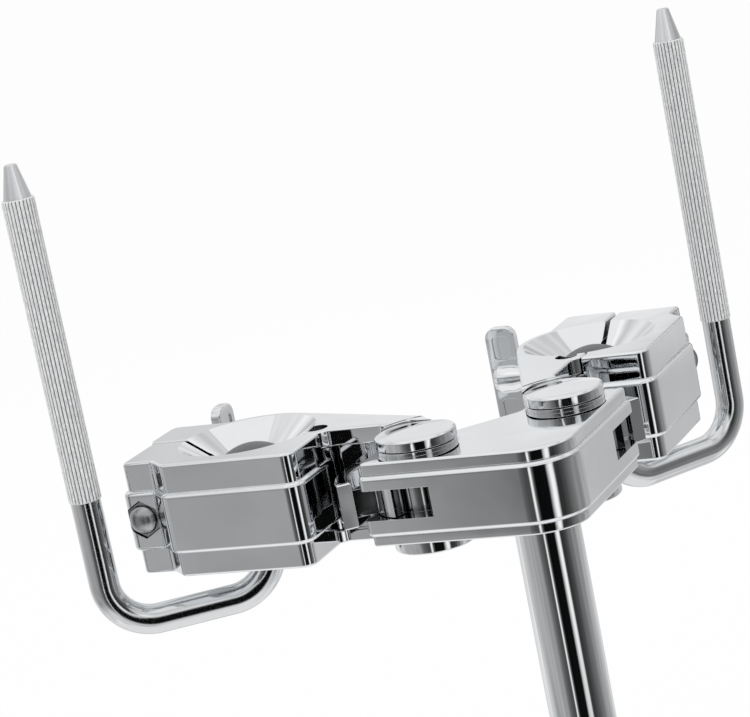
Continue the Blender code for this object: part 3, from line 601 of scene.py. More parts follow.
def build_body():
    """Body with its bands, bosses and stop slots, and the two set screws at its back."""
    arcs = body_arcs()
    z0, z1 = BODY_Z0, BODY_Z1
    body = add(
        flat("center_body", trace(arcs, 2.0 * MM), z0 + 4.0 * MM, z1 - 5.0 * MM, 2.0 * MM),
        flat("body_upper_band", trace(arcs, 2.7 * MM), z1 - 5.6 * MM, z1, 1.2 * MM),
        flat("body_lower_band", trace(arcs, 2.3 * MM), z0, z0 + 4.6 * MM, 1.0 * MM))
    boss_z = EAR_UNDER - 0.4 * MM
    for side_name, side in SIDES:
        xy = (side * PIVOT[0], PIVOT[1])
        add(body, cylinder("body_boss_" + side_name, BOSS_R, z1 - 2 * MM, boss_z, xy, 0.3 * MM))
        cut(body,
            cylinder("washer_recess_" + side_name, PIVOT_WASHER_R + GAP, boss_z - 1.0 * MM,
                     boss_z + PAST, xy),
            cylinder("pivot_bore_" + side_name, PIN_R + GAP, z0 - PAST, z1 + 5 * MM, xy, steps=20),
            sector("stop_slot_" + side_name, SLOT_R, SLOT_ANGLES, SLOT_Z - SLOT_H / 2,
                   SLOT_Z + SLOT_H / 2, side=side))
    cut(body, cylinder("tube_bore", TUBE_R + GAP, z0 - PAST, z0 + TUBE_IN_BODY + GAP, steps=48))
    screws = []
    for name, z in (("body_set_screw_upper", z0 + 21.5 * MM),
                    ("body_set_screw_lower", z0 + 9.0 * MM)):
        at = (0, TUBE_R + GAP, z)
        cut(body, turned(name + "_bore", rod_profile(SET_SCREW_R + GAP, -3 * MM, 40 * MM), 20,
                         at, BACKWARDS))
        screw = turned(name, rod_profile(SET_SCREW_R, 0, 28.5 * MM, 0.6 * MM), 20, at, BACKWARDS)
        cut(screw, hexagon(name + "_socket", 4 * MM, 24.5 * MM, 32 * MM, at, BACKWARDS))
        screws.append((name, welded(screw)))
    return welded(body), screws


def build_pivot():
    """Headed pivot pin, and the washer under the arm's ear."""
    head_z0, head_z1 = ARM_Z0 + 0.6 * MM, ARM_Z0 + 3.0 * MM
    top, rim = EAR_TOP - 1.6 * MM, 0.5 * MM
    at = (*LEFT_PIVOT, 0)
    pin = turned("pivot_pin", [
        (0, top), (PIN_R - rim, top), (PIN_R, top - rim), (PIN_R, head_z1), (PIN_HEAD_R, head_z1),
        (PIN_HEAD_R, head_z0 + rim), (PIN_HEAD_R - rim, head_z0), (0, head_z0)], 24, at)
    cut(pin, hexagon("pin_socket", 5 * MM, head_z0 - PAST, head_z0 + 4 * MM, at, (0, 0, 1)))
    washer = turned("pivot_washer", washer_profile(
        PIN_R + GAP, PIVOT_WASHER_R, EAR_UNDER - 1.1 * MM, EAR_UNDER - 0.25 * MM), 28, at)
    return welded(pin), washer


# ---------------------------------------------------------------- arm and jaw

def plate_arcs():
    """Plan of the arm plates in the clamp frame: pivot disc, knuckle of the jaw hinge,
    half ring behind the ball and the ear for the wing screw."""
    ps, pn = PIVOT_S, PIVOT_N
    span = math.hypot(ps, pn)
    tilt = math.degrees(math.atan2(pn, ps))
    tangent = tilt - math.degrees(math.acos((RING_R - EAR_R) / span))
    f = 4 * MM
    fn = PLATE_FRONT + f
    fs = ps - math.sqrt((EAR_R + f) ** 2 - (fn - pn) ** 2)
    disc_end = math.degrees(math.atan2(fn - pn, fs - ps)) % 360
    k = 2 * MM
    kn = PLATE_FRONT + k
    ks = HINGE_S + math.sqrt((KNUCKLE_R + k) ** 2 - kn ** 2)
    knuckle_start = math.degrees(math.atan2(kn, ks - HINGE_S))
    knuckle_end = 180 + math.degrees(math.asin(SPLIT / KNUCKLE_R))
    e = 3 * MM
    en = -EAR_N - e
    es = -math.sqrt((RING_R + e) ** 2 - en ** 2)
    ring_start = math.degrees(math.atan2(en, es)) % 360
    return [
        (ps, pn, EAR_R, tangent, disc_end),
        (fs, fn, -f, disc_end - 180, -90),
        (ks, kn, -k, -90, knuckle_start - 180),
        (HINGE_S, 0, KNUCKLE_R, knuckle_start, knuckle_end),
        (BOLT_S - 4.5 * MM, -SPLIT - 3 * MM, 3 * MM, 90, 180),
        (BOLT_S - 4.5 * MM, -EAR_N + 3 * MM, 3 * MM, 180, 270),
        (es, en, -e, 90, ring_start - 180),
        (0, 0, RING_R, ring_start, 360 + tangent),
    ]


def web_arcs():
    """Plan of the arm between its two plates: ring, bolt ear and the web up to the leg."""
    back = plate_arcs()
    ring_start, tangent = back[-1][3], back[-1][4] - 360
    ps, pn = PIVOT_S, PIVOT_N
    r = WALL_R[0]
    top_n, inset = PLATE_FRONT - 1.2 * MM, WEB_INSET
    corner = 1.4 * MM
    front = 180 + math.degrees(math.asin((pn - top_n + corner) / (r + corner)))
    fs = ps + (r + corner) * math.cos(math.radians(front))
    ring = RING_R - inset
    # the back line runs on the common tangent of ring and disc
    ta = math.radians(tangent)
    offset = ring - corner
    u = (math.cos(ta), math.sin(ta))
    d = (-u[1], u[0])
    along = ps * d[0] + pn * d[1]
    rel = offset - (ps * u[0] + pn * u[1])
    along -= math.sqrt((r + corner) ** 2 - rel ** 2)
    bs, bn = offset * u[0] + along * d[0], offset * u[1] + along * d[1]
    back_a = math.degrees(math.atan2(bn - pn, bs - ps)) % 360
    e = 3 * MM
    en = -EAR_N + inset - e
    es = -math.sqrt((ring + e) ** 2 - en ** 2)
    ring_a = math.degrees(math.atan2(en, es)) % 360
    hs = HINGE_S + KNUCKLE_R
    return [
        (bs, bn, corner, tangent, back_a - 180),
        (ps, pn, -r, back_a, front),
        (fs, top_n - corner, corner, front - 180, 90),
        (hs + corner + 0.8 * MM, top_n - corner, corner, 90, 180),
        (hs + 0.8 * MM - corner, -SPLIT + corner, -corner, 0, -90),
        (BOLT_S - 3.7 * MM, -SPLIT - 3 * MM, 3 * MM, 90, 180),
        (BOLT_S - 3.7 * MM, -EAR_N + inset + 3 * MM, 3 * MM, 180, 270),
        (es, en, -e, 90, ring_a - 180),
        (0, 0, ring, ring_a, 360 + tangent),
    ]


def cavity(name):
    """Socket of the ball with a funnel above and below."""
    up = CLAMP_H / 2
    mouth = math.sqrt(SEAT_R ** 2 - THROAT_R ** 2)
    slope = (FUNNEL_R - THROAT_R) / (up - mouth)
    rim, end = FUNNEL_R + PAST * slope, up + PAST
    first = math.degrees(math.asin(mouth / SEAT_R))
    seat = arc_points((0, 0), (SEAT_R, SEAT_R), first, -first, 20)
    return turned(name, [(0, end), (rim, end), *seat, (rim, -end), (0, -end)], 36, BALL_CENTRE)


def ear_cutters():
    """Room over the ear at the pivot: a shallow scoop, and a ring that rounds the ear's
    rim as far as the scoop reaches."""
    scoop = clamp_xy(PIVOT_S + 9 * MM, PIVOT_N + 6 * MM)
    top, rim, out = EAR_TOP, 1.3 * MM, EAR_R + 1 * MM
    start, low = (EAR_R - rim, top + 1 * MM), top - rim - 0.2 * MM
    ring = turned("ear_rim", [
        start, (out, top + 1 * MM), (out, low), (EAR_R + 0.01 * MM, low),
        *arc_points((EAR_R - rim, top - rim), (rim, rim), 0, 90, 6), start], 48, (*LEFT_PIVOT, 0))
    combine(ring, cylinder("ear_rim_reach", 26.9 * MM, top - 4 * MM, top + 4 * MM, scoop,
                           steps=48), "INTERSECT")
    dish = turned("ear_scoop", [
        (0, top + 4 * MM), (27.4 * MM, top + 4 * MM), (27.2 * MM, top + 0.6 * MM), (26.6 * MM, top),
        (25.6 * MM, top - 0.5 * MM), (24.0 * MM, top - 0.7 * MM), (21.5 * MM, top - 0.5 * MM),
        (18.0 * MM, top - 0.1 * MM), (15.0 * MM, top), (0, top)], 48, (*scoop, 0))
    return ring, dish


def build_arm():
    """Two plates with the web between them, and the tongue that runs in the stop slot."""
    edge = 0.9 * MM
    plate = mapped(plate_arcs(), edge)
    half = SLOT_H / 2
    arm = add(
        flat("arm", plate, ARM_Z1 - TOP_PLATE, ARM_Z1, edge),
        flat("arm_web", mapped(web_arcs()), LOW_PLATE_Z1 - 0.7 * MM,
             ARM_Z1 - TOP_PLATE + 0.7 * MM),
        flat("arm_low_plate", plate, ARM_Z0, LOW_PLATE_Z1, edge),
        sector("arm_wall", WALL_R, (144, 205), SLOT_Z - 9 * MM, SLOT_Z + 9 * MM, 0.8 * MM),
        sector("arm_neck", (TONGUE_R[1] - 3 * MM, WALL_R[0] + 3 * MM), (145.5, 156),
               SLOT_Z - half + 0.5 * MM, SLOT_Z + half - 0.5 * MM),
        sector("arm_tongue", TONGUE_R, (108, 158), SLOT_Z - half + 0.4 * MM,
               SLOT_Z + half - 0.4 * MM))
    z0 = ARM_Z0 - PAST
    cut(arm,
        cavity("arm_socket"),
        *ear_cutters(),
        cylinder("ear_relief", EAR_R + 0.5 * MM, EAR_UNDER - 4 * MM, EAR_UNDER, LEFT_PIVOT),
        cylinder("knuckle_room", JAW_KNUCKLE_R + 0.5 * MM, LOW_PLATE_Z1 - 0.25 * MM,
                 ARM_Z1 - TOP_PLATE + 0.25 * MM, HINGE),
        cylinder("arm_hinge_bore", HINGE_PIN_R + GAP, z0, ARM_Z1 + PAST, HINGE, steps=20),
        cylinder("arm_pivot_bore", PIN_R + GAP, z0, EAR_TOP - 1.2 * MM, LEFT_PIVOT, steps=20),
        cylinder("pivot_head_room", PIN_HEAD_R + GAP, z0, ARM_Z0 + 3.3 * MM, LEFT_PIVOT),
        turned("arm_bolt_bore", rod_profile(BOLT_R + 0.5 * MM, 0, EAR_N + 4 * MM), 20,
               BOLT, -N_AXIS))
    return welded(arm)


def jaw_arcs():
    """D-shaped plan of the front jaw, carried past the split; the split is cut later."""
    end = BOLT_S - 7.5 * MM
    hinge_end = HINGE_S + JAW_KNUCKLE_R - 1.0 * MM
    block = BLOCK_N
    c = math.cos(math.radians(45))
    knee_s, knee_r, hollow_r = -21 * MM, 5 * MM, 2 * MM
    line = (FRONT_N - knee_r - knee_s) + knee_r * 2 * c
    hollow_s = block + hollow_r - (line + hollow_r * 2 * c)
    return [
        (hinge_end - 4 * MM, -8 * MM, 4 * MM, -90, 0),
        (hinge_end - 7 * MM, FRONT_N - 7 * MM, 7 * MM, 0, 90),
        (knee_s, FRONT_N - knee_r, knee_r, 90, 135),
        (hollow_s, block + hollow_r, -hollow_r, -45, -90),
        (end + 4 * MM, block - 4 * MM, 4 * MM, 90, 180),
        (end + 4 * MM, -8 * MM, 4 * MM, 180, 270),
    ]


def build_jaw():
    """Banded front jaw with its hinge knuckle and the pocket of the nut."""
    arcs, z0, z1 = jaw_arcs(), ARM_Z0, ARM_Z1
    jaw = add(
        flat("front_jaw", mapped(arcs, 2.2 * MM), z1 - 36.6 * MM, z1 - 11.6 * MM, 2.2 * MM),
        flat("jaw_upper_band", mapped(arcs, 3.3 * MM), z1 - 13.0 * MM, z1, 1.3 * MM),
        flat("jaw_lower_band", mapped(arcs, 3.3 * MM), z0, z1 - 35.2 * MM, 1.3 * MM))
    far, behind = 60 * MM, -30 * MM
    split = [clamp_xy(s, n) for s, n in ((-far, behind), (far, behind), (far, SPLIT), (-far, SPLIT))]
    cut(jaw, flat("jaw_split", split, z0 - 5 * MM, z1 + 5 * MM))
    add(jaw, cylinder("jaw_knuckle", JAW_KNUCKLE_R, LOW_PLATE_Z1 + 0.05 * MM,
                      z1 - TOP_PLATE - 0.05 * MM, HINGE, 0.2 * MM))
    room = KNUCKLE_R + 0.7 * MM
    cut(jaw,
        cylinder("knuckle_room_top", room, z1 - TOP_PLATE - GAP, z1 + PAST, HINGE),
        cylinder("knuckle_room_low", room, z0 - PAST, LOW_PLATE_Z1 + GAP, HINGE),
        cavity("jaw_socket"),
        cylinder("jaw_hinge_bore", HINGE_PIN_R + GAP, z0 - PAST, z1 + PAST, HINGE, steps=20),
        turned("jaw_bolt_bore", rod_profile(BOLT_R + 1.0 * MM, -5 * MM, 26 * MM), 20, BOLT, N_AXIS),
        hexagon("nut_pocket", NUT_AF + 0.8 * MM, 23.5 * MM, 45 * MM, BOLT, N_AXIS))
    return welded(jaw)


def build_nut():
    """Domed hexagon nut, sunk in the end block of the jaw."""
    nut = hexagon("jaw_nut", NUT_AF, 23.8 * MM, 29.0 * MM, BOLT, N_AXIS)
    dome = arc_points((0, 28.6 * MM), (DOME_R, 4.8 * MM), 90, 0, 12)[1:]
    add(nut, turned("nut_dome", [(0, 33.4 * MM), *dome, (DOME_R, 27 * MM), (0, 27 * MM)], 24,
                    BOLT, N_AXIS))
    cut(nut, turned("nut_bore", rod_profile(BOLT_R + 0.7 * MM, 20 * MM, 31 * MM), 16, BOLT, N_AXIS))
    return welded(nut)


def build_hinge_pin():
    return cylinder("hinge_pin", HINGE_PIN_R, ARM_Z0 + 1.5 * MM, ARM_Z1 - 4 * MM, HINGE,
                    0.5 * MM, 24)


# ---------------------------------------------------------------- wing screw, ball and rod

def build_wing_screw():
    """Wing, collar and bolt in one piece, and the washer; the wing stands upright at rest."""
    n0, n1 = (-v for v in WING_N)
    upright = Matrix((N_AXIS, Vector((0, 0, 1)), S_AXIS)).transposed().to_4x4()
    upright.translation = BOLT
    edge = 0.8 * MM
    wing = flat("wing_screw", trace(rounded_box(n1, -WING_REACH, n0, WING_REACH, 5 * MM), edge),
                -WING_T / 2, WING_T / 2, edge, upright)
    seat = -(EAR_N - WEB_INSET + WASHER_T + 2 * GAP)
    add(wing,
        turned("wing_collar", [
            (0, seat), (6.8 * MM, seat), (7.2 * MM, seat - 0.4 * MM), (7.2 * MM, -30 * MM),
            (5.4 * MM, -33 * MM), (5.4 * MM, -46 * MM), (6.6 * MM, -50 * MM), (6.6 * MM, -57 * MM),
            (5.4 * MM, -59 * MM), (0, -59 * MM)], 24, BOLT, N_AXIS),
        turned("wing_shank", rod_profile(BOLT_R, -30 * MM, 29.4 * MM, 0.6 * MM), 20, BOLT, N_AXIS))
    border = 3.2 * MM
    for z in (1, -1):
        low, high = sorted((z * 9.0 * MM, z * 19.5 * MM))
        panel = trace(rounded_box(n1 + border, low, n0 - border, high, 1.8 * MM))
        for face in (-1, 1):
            depth = sorted((face * (WING_T / 2 - 0.7 * MM), face * (WING_T / 2 + PAST)))
            cut(wing, flat("wing_panel", panel, *depth, matrix=upright))
    front = -(EAR_N - WEB_INSET + GAP)
    washer = turned("wing_washer", washer_profile(BOLT_R + 0.4 * MM, 8 * MM, front - WASHER_T,
                                                  front), 24, BOLT, N_AXIS)
    return welded(wing), washer


def build_ball():
    """Ball with a flat underneath and a blind bore for the rod."""
    bore = ROD_R + GAP
    low = math.sqrt(BALL_R ** 2 - BALL_FLAT_R ** 2)
    end = math.degrees(math.asin(low / BALL_R))
    outside = arc_points((0, 0), (BALL_R, BALL_R), 90, -end, 44)[1:]
    return turned("ball", [(0, BALL_R), *outside, (bore, -low), (bore, BORE_ROOF), (0, BORE_ROOF)],
                  30, BALL_CENTRE)


def rod_plan(side, reach):
    a = math.radians(ROD_DIR)
    return side * (CLAMP[0] + reach * math.cos(a)), CLAMP[1] + reach * math.sin(a)


def build_rod(side_name, side, sizes):
    """Short leg up into the ball, level leg outwards, long leg up with a straight knurl
    and a tapered tip, lofted as rings along the path."""
    a = math.radians(ROD_DIR)
    out = Vector((side * math.cos(a), math.sin(a), 0.0))
    up = Vector((0.0, 0.0, 1.0))
    across = up.cross(out)
    depth = sizes.knurl_depth
    crest = KNURL_R - 0.06 * MM
    tooth = tuple(crest - depth * drop for drop in (1.0, 0.35, 0.06, 0.0, 0.06, 0.35))
    count = len(tooth) * sizes.knurl_teeth
    plain = sizes.rod_radius
    knurl_top = KNURL_Z0 + KNURL_LEN
    tip_top = knurl_top + TIP_LEN
    stations = []                      # reach, height, direction angle, radii

    def station(reach, z, angle, radii):
        stations.append((reach, z, angle, radii if isinstance(radii, tuple) else (radii,)))

    top = BALL_Z + BORE_ROOF - GAP
    station(0, top, -90, plain - 0.8 * MM)
    station(0, top - 0.8 * MM, -90, plain)
    turns = 20
    for i in range(turns + 1):
        t = math.radians(180 + 90 * i / turns)
        station(ROD_BEND * (1 + math.cos(t)), ROD_LOW_Z + ROD_BEND * (1 + math.sin(t)),
                -90 + 90 * i / turns, plain)
    for i in range(turns + 1):
        t = math.radians(270 + 90 * i / turns)
        station(ROD_REACH - ROD_BEND + ROD_BEND * math.cos(t),
                ROD_LOW_Z + ROD_BEND * (1 + math.sin(t)), 90 * i / turns, plain)
    station(ROD_REACH, KNURL_Z0, 90, plain)
    station(ROD_REACH, KNURL_Z0 + 0.3 * MM, 90, tooth)
    pieces = 12
    for i in range(1, pieces):
        station(ROD_REACH, KNURL_Z0 + KNURL_LEN * i / pieces, 90, tooth)
    station(ROD_REACH, knurl_top - 0.4 * MM, 90, tooth)
    station(ROD_REACH, knurl_top, 90, TIP_R[0] + 0.35 * MM)
    station(ROD_REACH, knurl_top + 0.05 * MM, 90, TIP_R[0])
    station(ROD_REACH, knurl_top + 1.2 * MM, 90, TIP_R[0] - 0.25 * MM)
    station(ROD_REACH, tip_top - 0.4 * MM, 90, TIP_R[1] + 0.1 * MM)
    station(ROD_REACH, tip_top, 90, TIP_R[1] - 0.4 * MM)

    toothed = [len(radii) > 1 for reach, z, angle, radii in stations]
    mesh = bpy.data.meshes.new("bent_rod_" + side_name)
    with editing(mesh) as bm:
        rings = []
        for reach, z, angle, radii in stations:
            centre = Vector((*rod_plan(side, reach), z))
            t = math.radians(angle)
            second = (out * math.cos(t) + up * math.sin(t)).cross(across)
            ring = []
            for k in range(count):
                w = 2 * math.pi * k / count
                r = radii[k % len(radii)]
                ring.append(bm.verts.new(centre + across * (r * math.cos(w))
                                         + second * (r * math.sin(w))))
            rings.append(ring)
        for i, (one, two) in enumerate(zip(rings, rings[1:])):
            for k in range(count):
                n = (k + 1) % count
                face = bm.faces.new((one[k], one[n], two[n], two[k]))
                face.material_index = 1 if toothed[i] or toothed[i + 1] else 0
        bm.faces.new(rings[0][::-1])
        bm.faces.new(rings[-1])
    return new_shape("bent_rod_" + side_name, mesh)


# ---------------------------------------------------------------- finished pieces

def settle(obj, node, finish_name):
    """Turns a built shape into the finished piece that stands for a CAD node: its cuts
    are applied, its shading evened, and it rides on the node's body."""
    bpy.context.view_layer.update()
    graph = bpy.context.evaluated_depsgraph_get()
    mesh = bpy.data.meshes.new_from_object(obj.evaluated_get(graph))
    mesh.transform(obj.matrix_world)
    bpy.data.objects.remove(obj, do_unlink=True)
    with editing(mesh) as bm:
        bmesh.ops.remove_doubles(bm, verts=bm.verts, dist=2e-6)
        bmesh.ops.dissolve_degenerate(bm, edges=bm.edges, dist=2e-6)
        bmesh.ops.recalc_face_normals(bm, faces=bm.faces)
    if not mesh.polygons:
        raise RuntimeError(node + " came out empty")
    mesh.shade_smooth()
    mesh.set_sharp_from_angle(angle=math.radians(SHARP_ANGLE))
    for name in finish_name.split():
        mesh.materials.append(finish(name))
    return stand_in(mesh, node)


def stand_in(mesh, node):
    """Puts a finished mesh in place of a CAD node, riding on the node's body."""
    piece = bpy.data.objects.new(node + "_finished", mesh)
    bpy.context.scene.collection.objects.link(piece)
    even = piece.modifiers.new("Even shading", "WEIGHTED_NORMAL")
    even.keep_sharp = True
    carrier = frame["nodes"][node].parent
    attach(piece, next(name for name, empty in frame["bodies"].items() if empty == carrier))
    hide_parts(node)
    return piece


def settle_pair(*pieces):
    """Settles the left-hand pieces, each given with its node and finish, and their mirror
    images on the right."""
    for obj, node, finish_name in pieces:
        mesh = settle(obj, node + "_left", finish_name).data.copy()
        mesh.transform(Matrix.Diagonal((-1.0, 1.0, 1.0, 1.0)))
        mesh.flip_normals()
        stand_in(mesh, node + "_right")
    clear_workshop()


def clear_workshop():
    for obj in list(WORKSHOP.objects):
        bpy.data.objects.remove(obj, do_unlink=True)


# ---------------------------------------------------------------- settings

class HolderSizes(bpy.types.PropertyGroup):
    """Sizes of the details that the frame leaves to the finish"""
    knurl_teeth: IntProperty(
        name="Knurl teeth", description="Teeth round the knurled rod", default=26, min=12, max=96)
    knurl_depth: FloatProperty(
        name="Knurl depth", description="Depth of a knurl tooth", default=0.5 * MM,
        min=0.05 * MM, max=1 * MM, precision=5, unit="LENGTH")
    rod_radius: FloatProperty(
        name="Rod radius", description="Radius of the plain part of the bent rod",
        default=ROD_R, min=3 * MM, max=8 * MM, precision=5, unit="LENGTH")


class HolderLook(bpy.types.PropertyGroup):
    """Colours and surface of the finishes"""
    chrome_colour: FloatVectorProperty(
        name="Chrome", description="Colour of the plating on castings and tube",
        subtype="COLOR", default=linear("#E9EBED"), min=0, max=1)
    rod_colour: FloatVectorProperty(
        name="Rod chrome", description="Colour of the plating on the rods",
        subtype="COLOR", default=linear("#DCDEE0"), min=0, max=1)
    knurl_colour: FloatVectorProperty(
        name="Knurl", description="Colour of the knurl's crests",
        subtype="COLOR", default=linear("#FFFFFF"), min=0, max=1)
    knurl_shade: FloatVectorProperty(
        name="Knurl shade", description="Colour that the knurl's grit falls to",
        subtype="COLOR", default=linear("#CDCFD1"), min=0, max=1)
    steel_colour: FloatVectorProperty(
        name="Zinc plate", description="Colour of pins, washers and set screws",
        subtype="COLOR", default=linear("#B4B6B8"), min=0, max=1)
    ball_colour: FloatVectorProperty(
        name="Ball nylon", description="Colour of the clamped ball",
        subtype="COLOR", default=linear("#4A4C4E"), min=0, max=1)
    black_colour: FloatVectorProperty(
        name="Black acetal", description="Colour of the end plug and pivot washers",
        subtype="COLOR", default=linear("#1B1B1C"), min=0, max=1)
    chrome_roughness: FloatProperty(
        name="Chrome roughness", description="Roughness of the plated castings", default=0.035,
        min=0, max=1, subtype="FACTOR")
    rod_roughness: FloatProperty(
        name="Rod roughness", description="Roughness of the plated rods", default=0.10,
        min=0, max=1, subtype="FACTOR")
    edge_round: FloatProperty(
        name="Edge softness", description="Radius that the plating leaves on sharp edges",
        default=0.25 * MM, min=0, max=1 * MM, precision=5, unit="LENGTH")
    wave_depth: FloatProperty(
        name="Polishing waves", description="Depth of the waves left by polishing",
        default=0.16 * MM, min=0, max=1 * MM, precision=5, unit="LENGTH")


class HolderStudio(bpy.types.PropertyGroup):
    """Camera and surround"""
    lens: FloatProperty(
        name="Lens", description="Focal length of the camera, in millimetres", default=126.53,
        min=20, max=300, subtype="DISTANCE_CAMERA")
    eye: FloatVectorProperty(
        name="Eye", description="Place of the camera", subtype="XYZ", unit="LENGTH",
        default=(-0.387189, -0.885038, 0.526871), precision=6)
    azimuth: FloatProperty(
        name="Azimuth", description="Direction of the camera round the holder",
        default=math.radians(-20.562), subtype="ANGLE")
    elevation: FloatProperty(
        name="Elevation", description="Height of the camera above the horizon",
        default=math.radians(11.674), subtype="ANGLE")
    roll: FloatProperty(
        name="Roll", description="Turn of the camera about its own axis",
        default=math.radians(11.283), subtype="ANGLE")
    surround_radius: FloatProperty(
        name="Surround radius", description="Radius of the reflecting surround", default=0.8,
        min=0.4, max=3, unit="LENGTH")


# ---------------------------------------------------------------- operators

class HOLDER_OT_tube(bpy.types.Operator):
    """Down tube with its end plug"""
    bl_idname = "drum_holder.tube"
    bl_label = "Down Tube"

    def execute(self, context):
        tube, plug = build_tube()
        settle(tube, "down_tube", "tube")
        settle(plug, "tube_end_plug", "black")
        return {"FINISHED"}


class HOLDER_OT_body(bpy.types.Operator):
    """Centre body with its two set screws"""
    bl_idname = "drum_holder.body"
    bl_label = "Centre Body"

    def execute(self, context):
        body, screws = build_body()
        settle(body, "center_body", "zinc")
        for name, screw in screws:
            settle(screw, name, "steel")
        clear_workshop()
        return {"FINISHED"}


class HOLDER_OT_pivots(bpy.types.Operator):
    """Pivot pins and their washers"""
    bl_idname = "drum_holder.pivots"
    bl_label = "Pivots"

    def execute(self, context):
        pin, washer = build_pivot()
        settle_pair((pin, "pivot_pin", "steel"), (washer, "pivot_washer", "black"))
        return {"FINISHED"}


class HOLDER_OT_arms(bpy.types.Operator):
    """Swinging arms with the hinge pins of their clamps"""
    bl_idname = "drum_holder.arms"
    bl_label = "Arms"

    def execute(self, context):
        settle_pair((build_arm(), "arm", "zinc"), (build_hinge_pin(), "hinge_pin", "steel"))
        return {"FINISHED"}


class HOLDER_OT_jaws(bpy.types.Operator):
    """Front jaws of the clamps with their domed nuts"""
    bl_idname = "drum_holder.jaws"
    bl_label = "Front Jaws"

    def execute(self, context):
        settle_pair((build_jaw(), "front_jaw", "zinc"), (build_nut(), "jaw_nut", "nut"))
        return {"FINISHED"}


class HOLDER_OT_wing_screws(bpy.types.Operator):
    """Wing screws with their washers"""
    bl_idname = "drum_holder.wing_screws"
    bl_label = "Wing Screws"

    def execute(self, context):
        wing, washer = build_wing_screw()
        settle_pair((wing, "wing_screw", "zinc"), (washer, "wing_washer", "steel"))
        return {"FINISHED"}


class HOLDER_OT_balls(bpy.types.Operator):
    """Nylon balls in the clamps"""
    bl_idname = "drum_holder.balls"
    bl_label = "Balls"

    def execute(self, context):
        settle_pair((build_ball(), "ball", "ball"))
        return {"FINISHED"}


class HOLDER_OT_rods(bpy.types.Operator):
    """Bent rods with their knurls and tips"""
    bl_idname = "drum_holder.rods"
    bl_label = "Bent Rods"

    def execute(self, context):
        for side_name, side in SIDES:
            settle(build_rod(side_name, side, context.scene.holder_sizes),
                   "l_rod_" + side_name, "rod knurl")
        return {"FINISHED"}


class HOLDER_OT_studio(bpy.types.Operator):
    """Pale floor, reflecting surround, soft lamps, world and camera"""
    bl_idname = "drum_holder.studio"
    bl_label = "Studio"

    def execute(self, context):
        studio = context.scene.holder_studio
        build_floor()
        build_surround(studio.surround_radius)
        build_lamps()
        build_world()
        build_camera(studio)
        return {"FINISHED"}


# ---------------------------------------------------------------- studio

def build_floor():
    """Matt white floor under the foot, white to the camera, with its shadow kept."""
    mesh = bpy.data.meshes.new("studio_floor")
    with editing(mesh) as bm:
        bmesh.ops.create_circle(bm, cap_ends=True, segments=96, radius=FLOOR_R)
    floor = bpy.data.objects.new("studio_floor", mesh)
    bpy.context.scene.collection.objects.link(floor)
    mat, tree, mm = new_finish("matt_white_paint")
    paint = add_node(tree, "ShaderNodeBsdfDiffuse", None, {"Color": (*linear("#F2F2F2"), 1.0)})
    white = add_node(tree, "ShaderNodeEmission", None, {"Color": (1, 1, 1, 1), "Strength": 1.0})
    seen = add_node(tree, "ShaderNodeMath", {"operation": "MULTIPLY"}, {
        0: add_node(tree, "ShaderNodeLightPath").outputs["Is Camera Ray"], 1: 0.97})
    mixed = add_node(tree, "ShaderNodeMixShader", None, {
        "Fac": seen.outputs[0], 1: paint.outputs[0], 2: white.outputs[0]})
    add_node(tree, "ShaderNodeOutputMaterial", None, {"Surface": mixed.outputs[0]})
    mesh.materials.append(mat)
    floor.visible_glossy = False


# Brightness of the surround, by direction from the front (-Y) towards +X, in degrees: white
# panels fading to grey, and black flags with bright gaps, as chrome is lit in a studio.
PANELS = (
    (-180, 0.80), (-150, 0.92), (-128, 0.66), (-112, 0.52), (-96, 0.47), (-78, 0.44), (-70, 0.34),
    (-62, 0.20), (-53, 0.10), (-47, 0.07), (-43, 0.08), (-41.5, 1.0), (-39, 1.0), (-36, 0.15),
    (-31, 0.005), (-5, 0.005), (-1, 0.60), (4, 1.0), (11, 0.95), (15, 0.05), (24, 0.05),
    (37, 0.10), (50, 0.20), (65, 0.32), (83, 0.48), (105, 0.62), (125, 0.74), (155, 0.95),
    (180, 0.80),
)


